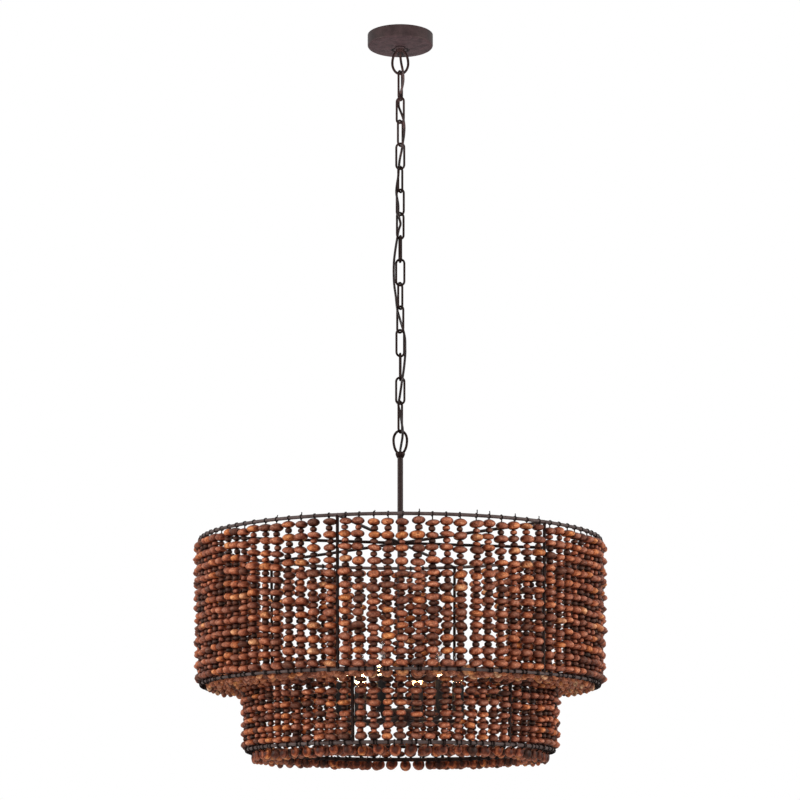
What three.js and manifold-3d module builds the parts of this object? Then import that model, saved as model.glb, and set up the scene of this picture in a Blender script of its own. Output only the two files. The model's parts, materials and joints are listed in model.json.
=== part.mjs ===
// Beaded chandelier: a two-tier wire cage hung with strands of wooden beads, on a chain and a canopy.
// Millimetres, +Z up. The origin is the middle of the canopy's rim, in the plane of the ceiling.
// Azimuths are degrees from the front (-Y) towards the right (+X).
import * as THREE from "three";
import { mergeVertices } from "three/addons/utils/BufferGeometryUtils.js";
import Module from "manifold-3d";

const wasm = await Module();
wasm.setup();

// Clearance between two pieces that touch
const SEAT_GAP = 0.3;

// Canopy: a drum-shaped cover that hides the ceiling box
const CANOPY_RADIUS = 63.5;
const CANOPY_HEIGHT = 25;
const CANOPY_WALL = 1.5;
const CANOPY_EDGE_RADIUS = 4;

// Crossbar: the steel strap that is screwed to the ceiling box, with clearance for the canopy at each end
const CROSSBAR_END_CLEARANCE = 10;
const CROSSBAR_WIDTH = 20;
const CROSSBAR_THICKNESS = 2.5;
const CROSSBAR_SLOT_SPACING_SHARE = 0.75;
const CROSSBAR_SLOT_LENGTH = 14;
const CROSSBAR_SLOT_WIDTH = 5;

// Nipple: the threaded tube from the crossbar into the loop's hub
const NIPPLE_RADIUS = 5;
const NIPPLE_BORE_RADIUS = 3.6;
const NIPPLE_LENGTH = 30;

// Canopy loop: a hub that passes through the canopy, and an egg-shaped bow under it
const LOOP_HUB_WALL = 2.2;
const LOOP_HUB_RISE = 7;
const LOOP_HUB_DROP = 10;
const LOOP_WIRE_RADIUS = 2.6;
const LOOP_HALF_WIDTH = 15.4;
const LOOP_ROOT_HALF_WIDTH = 5.4;
const LOOP_WIDEST_DROP = 33;
const LOOP_BOTTOM_DROP = 54.2;
const COLLAR_RADIUS = 10;
const COLLAR_HEIGHT = 4;

// Chain: the play is the slack where one link hangs in the next
const LINK_WIRE_RADIUS = 2.1;
const LINK_HALF_WIDTH = 7.8;
const LINK_PLAY = 0.8;
const LINK_PITCH = 46.1;
const FIRST_LINK_PITCH = 53.1;
const LAST_LINK_PITCH = 55;
const LINK_TURNS_DEGREES = [65, -28, 55, -11, 60, -30, 36, 102, -5, 60, -42, 22, 86, 0, 65];

// Stem loop and its cap, which is screwed onto the stem
const STEM_LOOP_WIRE_RADIUS = 2.15;
const STEM_LOOP_HALF_WIDTH = 12.7;
const STEM_LOOP_ROOT_HALF_WIDTH = 5.4;
const STEM_LOOP_WIDEST_DROP = 18;
const STEM_LOOP_LENGTH = 44;
const CAP_RADIUS = 8.9;
const CAP_HEIGHT = 9.5;
const CAP_TOP_THICKNESS = 3;

// Stem: the tube that carries the cage and the lights
const STEM_RADIUS = 5.35;
const STEM_BORE_RADIUS = 3.2;
const STEM_BORE_DEPTH = 16;
const STEM_NUT_RADIUS = 10;
const STEM_NUT_HEIGHT = 6;
const STEM_ABOVE_CAGE = 161.55;

// Wire cage: the shelf is the flat course between the basket and the drum, and the bottom lies in the basket
const BASKET_RADIUS = 286;
const SHELF_WIDTH = 87;
const BOTTOM_WIDTH = 68;
const DRUM_HEIGHT = 266.5;
const BASKET_HEIGHT = 119.5;
const GRID_DROP = 5;
const RING_WIRE_RADIUS = 3.25;
const BAR_WIRE_RADIUS = 2.75;
const SPOKE_HUB_RADIUS = 14;
const SPOKE_HUB_HEIGHT = 7;
const BAR_COUNT = 6;
const BAR_AZIMUTH_DEGREES = -17;

// Bead strands: each is as wide as its largest beads, and thinner where only its wire runs
const TIE_WIRE_RADIUS = 1;
const STRAND_TIP_RADIUS = 3.5;
const STRAND_TIP_LENGTH = 7;
const DRUM_BEAD_RADIUS = 11.6;
const DRUM_FIRST_BEAD_DROP = 13;
const BASKET_BEAD_RADIUS = 10.5;
const SHELF_BEAD_DROP = 3.5;
const SHELF_STRAND_INSET = 12.4;
const SHELF_TIP_LENGTH = 17;
const BOTTOM_BEAD_DROP = 12.5;
const BOTTOM_BEAD_RADIUS = 9.8;
const DRUM_STRAND_SHARES = [
  0.036, 0.1, 0.166, 0.23, 0.294, 0.364, 0.427, 0.49, 0.553, 0.627, 0.691, 0.756, 0.824, 0.891, 0.961,
];
const BAY_END_SHARE = 0.046;
const BASKET_STRANDS_PER_BAY = 12;
const BOTTOM_STRANDS_PER_BAY = 10;

// Lights: a turned body under the cage's top with six arms, cups, candle sleeves and bulbs
const BODY_DROP = 308;
const BODY_RADIUS = 24;
const BODY_HEIGHT = 32;
const BODY_SOCKET_DEPTH = 17;
const FINIAL_LENGTH = 16;
const FINIAL_RADIUS = 5;
const ARM_REACH = 110;
const ARM_RADIUS = 4;
const ARM_SAG = 8;
const CUP_RADIUS = 14;
const CUP_THICKNESS = 5;
const SLEEVE_RADIUS = 11;
const SLEEVE_HEIGHT = 54;
const SOCKET_DEPTH = 22;
const BULB_CAP_RADIUS = 6;
const BULB_RADIUS = 15;
const BULB_LENGTH = 68;
const BULB_OUTLINE_SHARES = [[0.21, 0.85], [0.42, 1], [0.71, 0.6]];

// Supply cord: a flat twin cord, woven through the chain from the canopy down into the stem
const CORD_HALF_WIDTH = 2.4;
const CORD_HALF_THICKNESS = 1.35;
const CORD_ROUTE = [
  [0, 0, -24],
  [0, 0, -40.3],
  [2, -3, -58.7],
  [5, -7, -76.1],
  [6, -3, -93.3],
  [3, -1, -109.5],
  [0, 2, -118.6],
  [-3, 9, -130.7],
  [-3, 7, -141.6],
  [1, -2, -156.6],
  [6, -9, -173.6],
  [8, -4, -187.5],
  [7, -2, -204.5],
  [5, -7.5, -219.5],
  [3, -6, -233.4],
  [-1, 2, -251.4],
  [-3, 7, -269.4],
  [-4, 3, -285.4],
  [-6.5, -0.5, -303.3],
  [-7.5, -3, -319.3],
  [-4, -4.5, -342.2],
  [-3.5, -9.5, -363.2],
  [-1.5, -9, -372.1],
  [0.5, -4, -381.2],
  [-3, 2, -391.1],
  [-6, 5, -408.1],
  [-9.5, 3, -431.1],
  [-12, -2, -455],
  [-12.5, -4, -478.9],
  [-11.5, -4, -500.9],
  [-8.5, -1, -522.9],
  [-6.5, -1.5, -542.8],
  [-5, -1, -551.8],
  [-1, 0, -565.8],
  [3, 4, -578.7],
  [6, 8.5, -587.7],
  [9, 9.8, -602.6],
  [9.5, 9.8, -618.6],
  [9.5, 9.5, -632.6],
  [8.5, 5, -646.6],
  [7, -1, -662.5],
  [5, -5.5, -677.6],
  [3.5, -6.5, -686.5],
  [1.5, -3, -700.5],
  [-1, 4, -716.4],
  [-3.5, 7.5, -731.4],
  [-1, 2, -744.5],
  [1, -0.5, -756.7],
  [3, -1, -769.8],
  [4.5, -7.5, -781.9],
  [4, -5, -796.6],
  [1.5, -1, -811.6],
  [0, 0, -820.6],
  [0, 0, -842.6],
];

// Facets
const WIRE_SIDES = 5;
const RING_SIDES = 4;
const RING_STEPS = 36;
const BOW_STEPS = 13;
const LINK_END_STEPS = 4;
const CORD_STEPS = 66;
const ROUND_SIDES = 12;
const CANOPY_SIDES = 24;
const SMALL_SIDES = 8;

// Sizes and levels that follow from the sizes above
const CROSSBAR_LENGTH = 2 * (CANOPY_RADIUS - CANOPY_WALL - CROSSBAR_END_CLEARANCE);
const CROSSBAR_SLOT_SPACING = CROSSBAR_LENGTH * CROSSBAR_SLOT_SPACING_SHARE;
const DRUM_RADIUS = BASKET_RADIUS + SHELF_WIDTH;
const GRID_RADIUS = BASKET_RADIUS - BOTTOM_WIDTH;
const CEILING = 0;
const CANOPY_BOTTOM = CEILING - CANOPY_HEIGHT;
const LOOP_HUB_BORE = NIPPLE_RADIUS + SEAT_GAP;
const LOOP_HUB_RADIUS = LOOP_HUB_BORE + LOOP_HUB_WALL;
const LOOP_HUB_BOTTOM = CANOPY_BOTTOM - LOOP_HUB_DROP;
const LOOP_BOTTOM = CANOPY_BOTTOM - LOOP_BOTTOM_DROP;
const LINK_COUNT = LINK_TURNS_DEGREES.length;
const STEM_RUN = STEM_RADIUS + SEAT_GAP;
const CHAIN_LENGTH = FIRST_LINK_PITCH + (LINK_COUNT - 2) * LINK_PITCH + LAST_LINK_PITCH;
const STEM_LOOP_TOP = LOOP_BOTTOM - CHAIN_LENGTH + LINK_WIRE_RADIUS + LINK_PLAY + STEM_LOOP_WIRE_RADIUS;
const CAP_TOP = STEM_LOOP_TOP - STEM_LOOP_LENGTH;
const CAP_BOTTOM = CAP_TOP - CAP_HEIGHT;
const DRUM_RING_Z = CAP_BOTTOM - STEM_ABOVE_CAGE;
const SHELF_RING_Z = DRUM_RING_Z - DRUM_HEIGHT;
const BASKET_RING_Z = SHELF_RING_Z - BASKET_HEIGHT;
const GRID_RING_Z = BASKET_RING_Z - GRID_DROP;
const BODY_TOP = DRUM_RING_Z - BODY_DROP;
const BODY_BOTTOM = BODY_TOP - BODY_HEIGHT;
const CUP_BOTTOM = (BODY_TOP + BODY_BOTTOM) / 2 + CUP_THICKNESS / 2;
const SLEEVE_BOTTOM = CUP_BOTTOM + CUP_THICKNESS + SEAT_GAP;
const SLEEVE_TOP = SLEEVE_BOTTOM + SLEEVE_HEIGHT;
const BAY_DEGREES = 360 / BAR_COUNT;

// Materials
const finish = (color, roughness, metalness) => ({ color, roughness, metalness });
const BRONZE = finish("#453835", 0.55, 0.6);
const ZINC = finish("#9a9c9c", 0.4, 0.9);
const WOOD = finish("#8a4f33", 0.5, 0);
const CORD_SLEEVE = finish("#221c1b", 0.6, 0);
const CANDLE = finish("#241f1e", 0.6, 0);
const GLASS = finish("#ffe7bd", 0.15, 0);

const chandelier = new THREE.Group();

function add(name, geometry, look) {
  const mesh = new THREE.Mesh(geometry, new THREE.MeshStandardMaterial(look));
  mesh.name = name;
  chandelier.add(mesh);
  return mesh;
}

// Closed geometries joined and cut as solids
function solidOf(geometry) {
  const bare = geometry.index ? geometry.toNonIndexed() : geometry.clone();
  bare.deleteAttribute("normal");
  bare.deleteAttribute("uv");
  const merged = mergeVertices(bare, SEAT_GAP / 1000);
  return new wasm.Manifold(
    new wasm.Mesh({
      numProp: 3,
      vertProperties: merged.attributes.position.array,
      triVerts: new Uint32Array(merged.index.array),
    }),
  );
}

function geometryOf(solid) {
  const mesh = solid.getMesh();
  return new THREE.BufferGeometry()
    .setAttribute("position", new THREE.BufferAttribute(mesh.vertProperties, 3))
    .setIndex(new THREE.BufferAttribute(mesh.triVerts, 1));
}

function join(geometries) {
  return geometryOf(geometries.map(solidOf).reduce((whole, piece) => whole.add(piece)));
}

// A profile of [radius, height] points turned about the Z axis, counter-clockwise
function revolve(profile, sides) {
  const points = profile.map(([radius, height]) => new THREE.Vector2(radius, height));
  return new THREE.LatheGeometry(points, sides).rotateX(Math.PI / 2);
}

// A tube's wall as a closed profile
function tube(outer, inner, bottom, top, sides) {
  const wall = [[inner, bottom], [outer, bottom], [outer, top], [inner, top], [inner, bottom]];
  return revolve(wall, sides);
}

function rod(from, to, radius, sides) {
  const along = new THREE.Vector3().subVectors(to, from);
  const turn = new THREE.Quaternion().setFromUnitVectors(
    new THREE.Vector3(0, 1, 0),
    along.clone().normalize(),
  );
  const middle = new THREE.Vector3().addVectors(from, to).multiplyScalar(0.5);
  return new THREE.CylinderGeometry(radius, radius, along.length(), sides)
    .applyQuaternion(turn)
    .translate(middle.x, middle.y, middle.z);
}

// A wire ring with a corner at each bar
function ring(radius, height, wireRadius) {
  return new THREE.TorusGeometry(radius, wireRadius, RING_SIDES, RING_STEPS)
    .rotateZ(THREE.MathUtils.degToRad(BAR_AZIMUTH_DEGREES - 90))
    .translate(0, 0, height);
}

function ovalSection(halfWidth, halfThickness, sides) {
  const points = Array.from({ length: sides }, (_, i) => {
    const turn = ((i + 0.5) / sides) * 2 * Math.PI;
    return new THREE.Vector2(halfWidth * Math.cos(turn), halfThickness * Math.sin(turn));
  });
  return new THREE.Shape(points);
}

function sweep(section, path, steps) {
  return new THREE.ExtrudeGeometry(section, { steps, bevelEnabled: false, extrudePath: path });
}

const frontPoint = (radius, height) => new THREE.Vector3(0, -radius, height);
const turned = (geometry, degrees) => geometry.clone().rotateZ(THREE.MathUtils.degToRad(degrees));

// An egg-shaped bow in the XZ plane. It is open at its root and round at its far end.
class Bow extends THREE.Curve {
  constructor(halfWidth, rootHalfWidth, rootHeight, widestHeight, farHeight) {
    super();
    this.rootTurn = Math.acos(rootHalfWidth / halfWidth);
    Object.assign(this, { halfWidth, rootHeight, widestHeight, farHeight });
  }
  getPoint(t) {
    const turn = THREE.MathUtils.lerp(-this.rootTurn, Math.PI + this.rootTurn, t);
    const reach = Math.sin(turn);
    const height =
      reach > 0
        ? this.widestHeight + (this.farHeight - this.widestHeight) * reach
        : this.widestHeight - ((this.rootHeight - this.widestHeight) * reach) / Math.sin(this.rootTurn);
    return new THREE.Vector3(-this.halfWidth * Math.cos(turn), 0, height);
  }
}

// A closed wire loop with straight sides and round ends, in the XZ plane, centred on the origin
function linkWire(halfWidth, halfLength, wireRadius) {
  const centre = halfLength - halfWidth;
  const path = [];
  for (const side of [1, -1]) {
    for (let i = 0; i <= LINK_END_STEPS; i++) {
      const turn = (i / LINK_END_STEPS) * Math.PI;
      path.push({ x: side * Math.cos(turn), z: side * Math.sin(turn), rise: side * centre });
    }
  }
  const positions = [];
  for (const { x, z, rise } of path) {
    for (let k = 0; k < WIRE_SIDES; k++) {
      const turn = (k / WIRE_SIDES) * 2 * Math.PI;
      const reach = halfWidth + wireRadius * Math.cos(turn);
      positions.push(x * reach, wireRadius * Math.sin(turn), rise + z * reach);
    }
  }
  const index = [];
  for (let i = 0; i < path.length; i++) {
    const next = (i + 1) % path.length;
    for (let k = 0; k < WIRE_SIDES; k++) {
      const beside = (k + 1) % WIRE_SIDES;
      const corners = [i, next].flatMap((row) => [row * WIRE_SIDES + k, row * WIRE_SIDES + beside]);
      index.push(corners[0], corners[1], corners[2], corners[1], corners[3], corners[2]);
    }
  }
  return new THREE.BufferGeometry()
    .setAttribute("position", new THREE.Float32BufferAttribute(positions, 3))
    .setIndex(index);
}

// Crossbar with a hole for the nipple and two slots for the ceiling box's screws
function makeCrossbar() {
  const halfLength = CROSSBAR_LENGTH / 2;
  const halfWidth = CROSSBAR_WIDTH / 2;
  const strap = new THREE.Shape()
    .moveTo(-halfLength, -halfWidth)
    .lineTo(halfLength, -halfWidth)
    .lineTo(halfLength, halfWidth)
    .lineTo(-halfLength, halfWidth);
  const nippleHole = ovalSection(NIPPLE_RADIUS + SEAT_GAP, NIPPLE_RADIUS + SEAT_GAP, ROUND_SIDES);
  strap.holes.push(new THREE.Path(nippleHole.getPoints()));
  const slotRadius = CROSSBAR_SLOT_WIDTH / 2;
  const slotReach = CROSSBAR_SLOT_LENGTH / 2 - slotRadius;
  for (const side of [-1, 1]) {
    const middle = (side * CROSSBAR_SLOT_SPACING) / 2;
    strap.holes.push(
      new THREE.Path()
        .absarc(middle + slotReach, 0, slotRadius, -Math.PI / 2, Math.PI / 2)
        .absarc(middle - slotReach, 0, slotRadius, Math.PI / 2, (3 * Math.PI) / 2),
    );
  }
  return new THREE.ExtrudeGeometry(strap, {
    depth: CROSSBAR_THICKNESS,
    bevelEnabled: false,
    curveSegments: 3,
  }).translate(0, 0, CEILING - CROSSBAR_THICKNESS);
}

// Canopy shell: open at the ceiling, with a rounded lower edge and a hole for the loop's hub
function makeCanopy() {
  const hole = LOOP_HUB_RADIUS + SEAT_GAP;
  const edgeCentre = CANOPY_RADIUS - CANOPY_EDGE_RADIUS;
  const innerEdge = CANOPY_EDGE_RADIUS - CANOPY_WALL;
  const arc = (radius, from, to) =>
    Array.from({ length: 3 }, (_, i) => {
      const turn = THREE.MathUtils.degToRad(THREE.MathUtils.lerp(from, to, i / 2));
      return [
        edgeCentre + radius * Math.cos(turn),
        CANOPY_BOTTOM + CANOPY_EDGE_RADIUS + radius * Math.sin(turn),
      ];
    });
  return revolve(
    [
      [hole, CANOPY_BOTTOM],
      ...arc(CANOPY_EDGE_RADIUS, -90, 0),
      [CANOPY_RADIUS, CEILING],
      [CANOPY_RADIUS - CANOPY_WALL, CEILING],
      ...arc(innerEdge, 0, -90),
      [hole, CANOPY_BOTTOM + CANOPY_WALL],
      [hole, CANOPY_BOTTOM],
    ],
    CANOPY_SIDES,
  );
}

function makeCanopyLoop() {
  const hubTop = CANOPY_BOTTOM + LOOP_HUB_RISE;
  const hub = tube(LOOP_HUB_RADIUS, LOOP_HUB_BORE, LOOP_HUB_BOTTOM, hubTop, ROUND_SIDES);
  const bow = new Bow(
    LOOP_HALF_WIDTH,
    LOOP_ROOT_HALF_WIDTH,
    LOOP_HUB_BOTTOM + LOOP_WIRE_RADIUS,
    CANOPY_BOTTOM - LOOP_WIDEST_DROP,
    LOOP_BOTTOM,
  );
  const wire = sweep(ovalSection(LOOP_WIRE_RADIUS, LOOP_WIRE_RADIUS, WIRE_SIDES), bow, BOW_STEPS);
  return join([hub, wire]);
}

add("ceiling_crossbar", makeCrossbar(), ZINC);
add("canopy_shell", makeCanopy(), BRONZE);
add(
  "canopy_nipple",
  tube(NIPPLE_RADIUS, NIPPLE_BORE_RADIUS, CEILING - NIPPLE_LENGTH, CEILING, ROUND_SIDES),
  ZINC,
);
add(
  "canopy_collar",
  tube(
    COLLAR_RADIUS,
    LOOP_HUB_RADIUS + SEAT_GAP,
    CANOPY_BOTTOM - SEAT_GAP - COLLAR_HEIGHT,
    CANOPY_BOTTOM - SEAT_GAP,
    ROUND_SIDES,
  ),
  BRONZE,
);
add("canopy_loop", makeCanopyLoop(), BRONZE);

// Chain: each link hangs in the bow of the one above, with its top wire over that one's bottom wire
let pivot = LOOP_BOTTOM;
let upperWireRadius = LOOP_WIRE_RADIUS;
LINK_TURNS_DEGREES.forEach((degrees, i) => {
  const pitch = i === 0 ? FIRST_LINK_PITCH : i === LINK_COUNT - 1 ? LAST_LINK_PITCH : LINK_PITCH;
  const top = pivot + upperWireRadius + LINK_PLAY + LINK_WIRE_RADIUS;
  const bottom = pivot - pitch;
  const link = linkWire(LINK_HALF_WIDTH, (top - bottom) / 2, LINK_WIRE_RADIUS);
  const mesh = add(`chain_link_${String(i + 1).padStart(2, "0")}`, link, BRONZE);
  mesh.position.z = (top + bottom) / 2;
  mesh.rotation.z = THREE.MathUtils.degToRad(degrees);
  pivot = bottom;
  upperWireRadius = LINK_WIRE_RADIUS;
});

// Stem loop: a teardrop bow on a cap that is screwed over the stem's end
const STEM_TOP = CAP_TOP - CAP_TOP_THICKNESS - SEAT_GAP;
const STEM_BOTTOM = BODY_TOP - BODY_SOCKET_DEPTH + SEAT_GAP;

function makeStemLoop() {
  const bow = new Bow(
    STEM_LOOP_HALF_WIDTH,
    STEM_LOOP_ROOT_HALF_WIDTH,
    CAP_TOP - CAP_TOP_THICKNESS / 2,
    STEM_LOOP_TOP - STEM_LOOP_WIDEST_DROP,
    STEM_LOOP_TOP,
  );
  const section = ovalSection(STEM_LOOP_WIRE_RADIUS, STEM_LOOP_WIRE_RADIUS, WIRE_SIDES);
  const capProfile = [
    [STEM_RUN, CAP_BOTTOM],
    [CAP_RADIUS, CAP_BOTTOM],
    [CAP_RADIUS, CAP_TOP],
    [STEM_BORE_RADIUS, CAP_TOP],
    [STEM_BORE_RADIUS, CAP_TOP - CAP_TOP_THICKNESS],
    [STEM_RUN, CAP_TOP - CAP_TOP_THICKNESS],
    [STEM_RUN, CAP_BOTTOM],
  ];
  return join([sweep(section, bow, BOW_STEPS), revolve(capProfile, ROUND_SIDES)]);
}

function makeStem() {
  const profile = [
    [0, STEM_BOTTOM],
    [STEM_RADIUS, STEM_BOTTOM],
    [STEM_RADIUS, STEM_TOP],
    [STEM_BORE_RADIUS, STEM_TOP],
    [STEM_BORE_RADIUS, STEM_TOP - STEM_BORE_DEPTH],
    [0, STEM_TOP - STEM_BORE_DEPTH],
  ];
  return revolve(profile, ROUND_SIDES);
}

add("stem_loop", makeStemLoop(), BRONZE);
add("stem", makeStem(), BRONZE);

// Wire cage
const barAzimuths = Array.from({ length: BAR_COUNT }, (_, i) => BAR_AZIMUTH_DEGREES + i * BAY_DEGREES);
const atBars = (geometry) => barAzimuths.map((degrees) => turned(geometry, degrees));

function makeTopSpider() {
  const hub = tube(
    SPOKE_HUB_RADIUS,
    STEM_RUN,
    DRUM_RING_Z - SPOKE_HUB_HEIGHT / 2,
    DRUM_RING_Z + SPOKE_HUB_HEIGHT / 2,
    ROUND_SIDES,
  );
  const spoke = rod(
    frontPoint((SPOKE_HUB_RADIUS + STEM_RUN) / 2, DRUM_RING_Z),
    frontPoint(DRUM_RADIUS - RING_WIRE_RADIUS - SEAT_GAP, DRUM_RING_Z),
    BAR_WIRE_RADIUS,
    WIRE_SIDES,
  );
  return join([hub, ...atBars(spoke)]);
}

// The nut that holds the spider up on the stem
function makeStemNut() {
  const hexagon = ovalSection(STEM_NUT_RADIUS, STEM_NUT_RADIUS, 6);
  hexagon.holes.push(new THREE.Path(ovalSection(STEM_RUN, STEM_RUN, ROUND_SIDES).getPoints()));
  return new THREE.ExtrudeGeometry(hexagon, { depth: STEM_NUT_HEIGHT, bevelEnabled: false }).translate(
    0,
    0,
    DRUM_RING_Z - SPOKE_HUB_HEIGHT / 2 - SEAT_GAP - STEM_NUT_HEIGHT,
  );
}

function makeDrumCage() {
  const bar = rod(
    frontPoint(DRUM_RADIUS, SHELF_RING_Z),
    frontPoint(DRUM_RADIUS, DRUM_RING_Z - RING_WIRE_RADIUS - SEAT_GAP),
    BAR_WIRE_RADIUS,
    WIRE_SIDES,
  );
  return join([ring(DRUM_RADIUS, SHELF_RING_Z, RING_WIRE_RADIUS), ...atBars(bar)]);
}

function makeBasketCage() {
  const strut = rod(
    frontPoint(BASKET_RADIUS, SHELF_RING_Z),
    frontPoint(DRUM_RADIUS - RING_WIRE_RADIUS - SEAT_GAP, SHELF_RING_Z),
    BAR_WIRE_RADIUS,
    WIRE_SIDES,
  );
  const bar = rod(
    frontPoint(BASKET_RADIUS, SHELF_RING_Z),
    frontPoint(BASKET_RADIUS, BASKET_RING_Z),
    BAR_WIRE_RADIUS,
    WIRE_SIDES,
  );
  return join([
    ring(BASKET_RADIUS, SHELF_RING_Z, RING_WIRE_RADIUS),
    ring(BASKET_RADIUS, BASKET_RING_Z, RING_WIRE_RADIUS),
    ...atBars(strut),
    ...atBars(bar),
  ]);
}

function makeBottomGrid() {
  const strut = rod(
    frontPoint(GRID_RADIUS, GRID_RING_Z),
    frontPoint(BASKET_RADIUS - RING_WIRE_RADIUS - SEAT_GAP, BASKET_RING_Z),
    BAR_WIRE_RADIUS,
    WIRE_SIDES,
  );
  return join([ring(GRID_RADIUS, GRID_RING_Z, BAR_WIRE_RADIUS), ...atBars(strut)]);
}

add("top_spider", makeTopSpider(), BRONZE);
add("stem_nut", makeStemNut(), BRONZE);
add("top_ring", ring(DRUM_RADIUS, DRUM_RING_Z, RING_WIRE_RADIUS), BRONZE);
add("drum_cage", makeDrumCage(), BRONZE);
add("basket_cage", makeBasketCage(), BRONZE);
add("bottom_grid", makeBottomGrid(), BRONZE);

// Bead strands. The strands of one bay are threaded on one tie wire, which runs on along the ring that
// they hang from. A strand is a four-sided rod: its course lists the radius from the stem, the height and
// the half width of each of its sections, and it leaves the wire on the side where its first section lies.
function beadStrands({ azimuths, tieRadius, tieHeight, leavesDown, course }) {
  const positions = [];
  const index = [];
  const quad = (a, b, c, d) => index.push(a, b, c, b, d, c);
  const put = (degrees, radius, height, aside = 0) => {
    const turn = THREE.MathUtils.degToRad(degrees);
    const x = radius * Math.sin(turn) + aside * Math.cos(turn);
    const y = -radius * Math.cos(turn) + aside * Math.sin(turn);
    return positions.push(x, y, height) / 3 - 1;
  };
  const outside = tieRadius + TIE_WIRE_RADIUS;
  const inside = tieRadius - TIE_WIRE_RADIUS;
  const above = tieHeight + TIE_WIRE_RADIUS;
  const below = tieHeight - TIE_WIRE_RADIUS;
  const wireCorners = (degrees, aside) => [
    put(degrees, outside, above, aside),
    put(degrees, inside, above, aside),
    put(degrees, inside, below, aside),
    put(degrees, outside, below, aside),
  ];
  const wireSpan = (left, right, open) => {
    for (let k = 0; k < 4; k++) {
      const next = (k + 1) % 4;
      if (k !== open) quad(left[k], right[k], left[next], right[next]);
    }
  };
  let last;
  for (const degrees of azimuths) {
    const left = wireCorners(degrees, -TIE_WIRE_RADIUS);
    const right = wireCorners(degrees, TIE_WIRE_RADIUS);
    if (last) wireSpan(last, left);
    else index.push(left[0], left[1], left[2], left[0], left[2], left[3]);
    wireSpan(left, right, leavesDown ? 2 : 1);
    let from = leavesDown ? [right[3], left[3], left[2], right[2]] : [right[2], left[2], left[1], right[1]];
    for (const { radius, height, halfWidth, upright } of course) {
      const out = upright ? halfWidth : 0;
      const down = upright ? 0 : halfWidth;
      const to = [
        put(degrees, radius, height, halfWidth),
        put(degrees, radius + out, height - down),
        put(degrees, radius, height, -halfWidth),
        put(degrees, radius - out, height + down),
      ];
      for (let k = 0; k < 4; k++) {
        const next = (k + 1) % 4;
        quad(from[k], from[next], to[k], to[next]);
      }
      from = to;
    }
    index.push(from[0], from[1], from[2], from[0], from[2], from[3]);
    last = right;
  }
  index.push(last[0], last[2], last[1], last[0], last[3], last[2]);
  return new THREE.BufferGeometry()
    .setAttribute("position", new THREE.Float32BufferAttribute(positions, 3))
    .setIndex(index);
}

function evenShares(count) {
  const span = 1 - 2 * BAY_END_SHARE;
  return Array.from({ length: count }, (_, i) => BAY_END_SHARE + (span * i) / (count - 1));
}

// The shares of two neighbouring bays as shares of both together
function pairedShares(count) {
  const shares = evenShares(count);
  return [...shares, ...shares.map((share) => share + 1)].map((share) => share / 2);
}

function addStrands(name, bayCount, shares, strand) {
  const span = 360 / bayCount;
  for (let i = 0; i < bayCount; i++) {
    const azimuths = shares.map((share) => BAR_AZIMUTH_DEGREES + (i + share) * span);
    add(`${name}_${i + 1}`, beadStrands({ azimuths, ...strand }), WOOD);
  }
}

const underRing = RING_WIRE_RADIUS + SEAT_GAP + TIE_WIRE_RADIUS;
const overRing = RING_WIRE_RADIUS + SEAT_GAP;
const upright = true;

addStrands("drum_strands", BAR_COUNT, DRUM_STRAND_SHARES, {
  tieRadius: DRUM_RADIUS,
  tieHeight: DRUM_RING_Z - underRing,
  leavesDown: true,
  course: [
    { radius: DRUM_RADIUS, height: DRUM_RING_Z - DRUM_FIRST_BEAD_DROP, halfWidth: DRUM_BEAD_RADIUS, upright },
    { radius: DRUM_RADIUS, height: SHELF_RING_Z + overRing, halfWidth: DRUM_BEAD_RADIUS, upright },
  ],
});

addStrands("basket_strands", BAR_COUNT, evenShares(BASKET_STRANDS_PER_BAY), {
  tieRadius: BASKET_RADIUS,
  tieHeight: SHELF_RING_Z - underRing,
  leavesDown: true,
  course: [
    {
      radius: BASKET_RADIUS,
      height: SHELF_RING_Z - underRing - STRAND_TIP_LENGTH,
      halfWidth: BASKET_BEAD_RADIUS,
      upright,
    },
    { radius: BASKET_RADIUS, height: BASKET_RING_Z + overRing, halfWidth: BASKET_BEAD_RADIUS, upright },
  ],
});

const PAIRED_BAYS = BAR_COUNT / 2;
const shelfHeight = SHELF_RING_Z - SHELF_BEAD_DROP;
const shelfInner = BASKET_RADIUS + SHELF_STRAND_INSET;
addStrands("shelf_strands", PAIRED_BAYS, pairedShares(BASKET_STRANDS_PER_BAY), {
  tieRadius: DRUM_RADIUS,
  tieHeight: SHELF_RING_Z - underRing,
  leavesDown: false,
  course: [
    { radius: DRUM_RADIUS - SHELF_TIP_LENGTH, height: shelfHeight, halfWidth: BASKET_BEAD_RADIUS },
    { radius: shelfInner + STRAND_TIP_LENGTH, height: shelfHeight, halfWidth: BASKET_BEAD_RADIUS },
    { radius: shelfInner, height: shelfHeight, halfWidth: STRAND_TIP_RADIUS },
  ],
});

const bottomHeight = BASKET_RING_Z - BOTTOM_BEAD_DROP;
addStrands("bottom_strands", PAIRED_BAYS, pairedShares(BOTTOM_STRANDS_PER_BAY), {
  tieRadius: BASKET_RADIUS,
  tieHeight: BASKET_RING_Z - underRing,
  leavesDown: true,
  course: [
    { radius: BASKET_RADIUS - STRAND_TIP_LENGTH, height: bottomHeight, halfWidth: BOTTOM_BEAD_RADIUS },
    { radius: GRID_RADIUS + STRAND_TIP_LENGTH, height: bottomHeight, halfWidth: BOTTOM_BEAD_RADIUS },
    {
      radius: GRID_RADIUS + BAR_WIRE_RADIUS + SEAT_GAP,
      height: GRID_RING_Z - BAR_WIRE_RADIUS - STRAND_TIP_RADIUS - SEAT_GAP,
      halfWidth: STRAND_TIP_RADIUS,
    },
  ],
});

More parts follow.
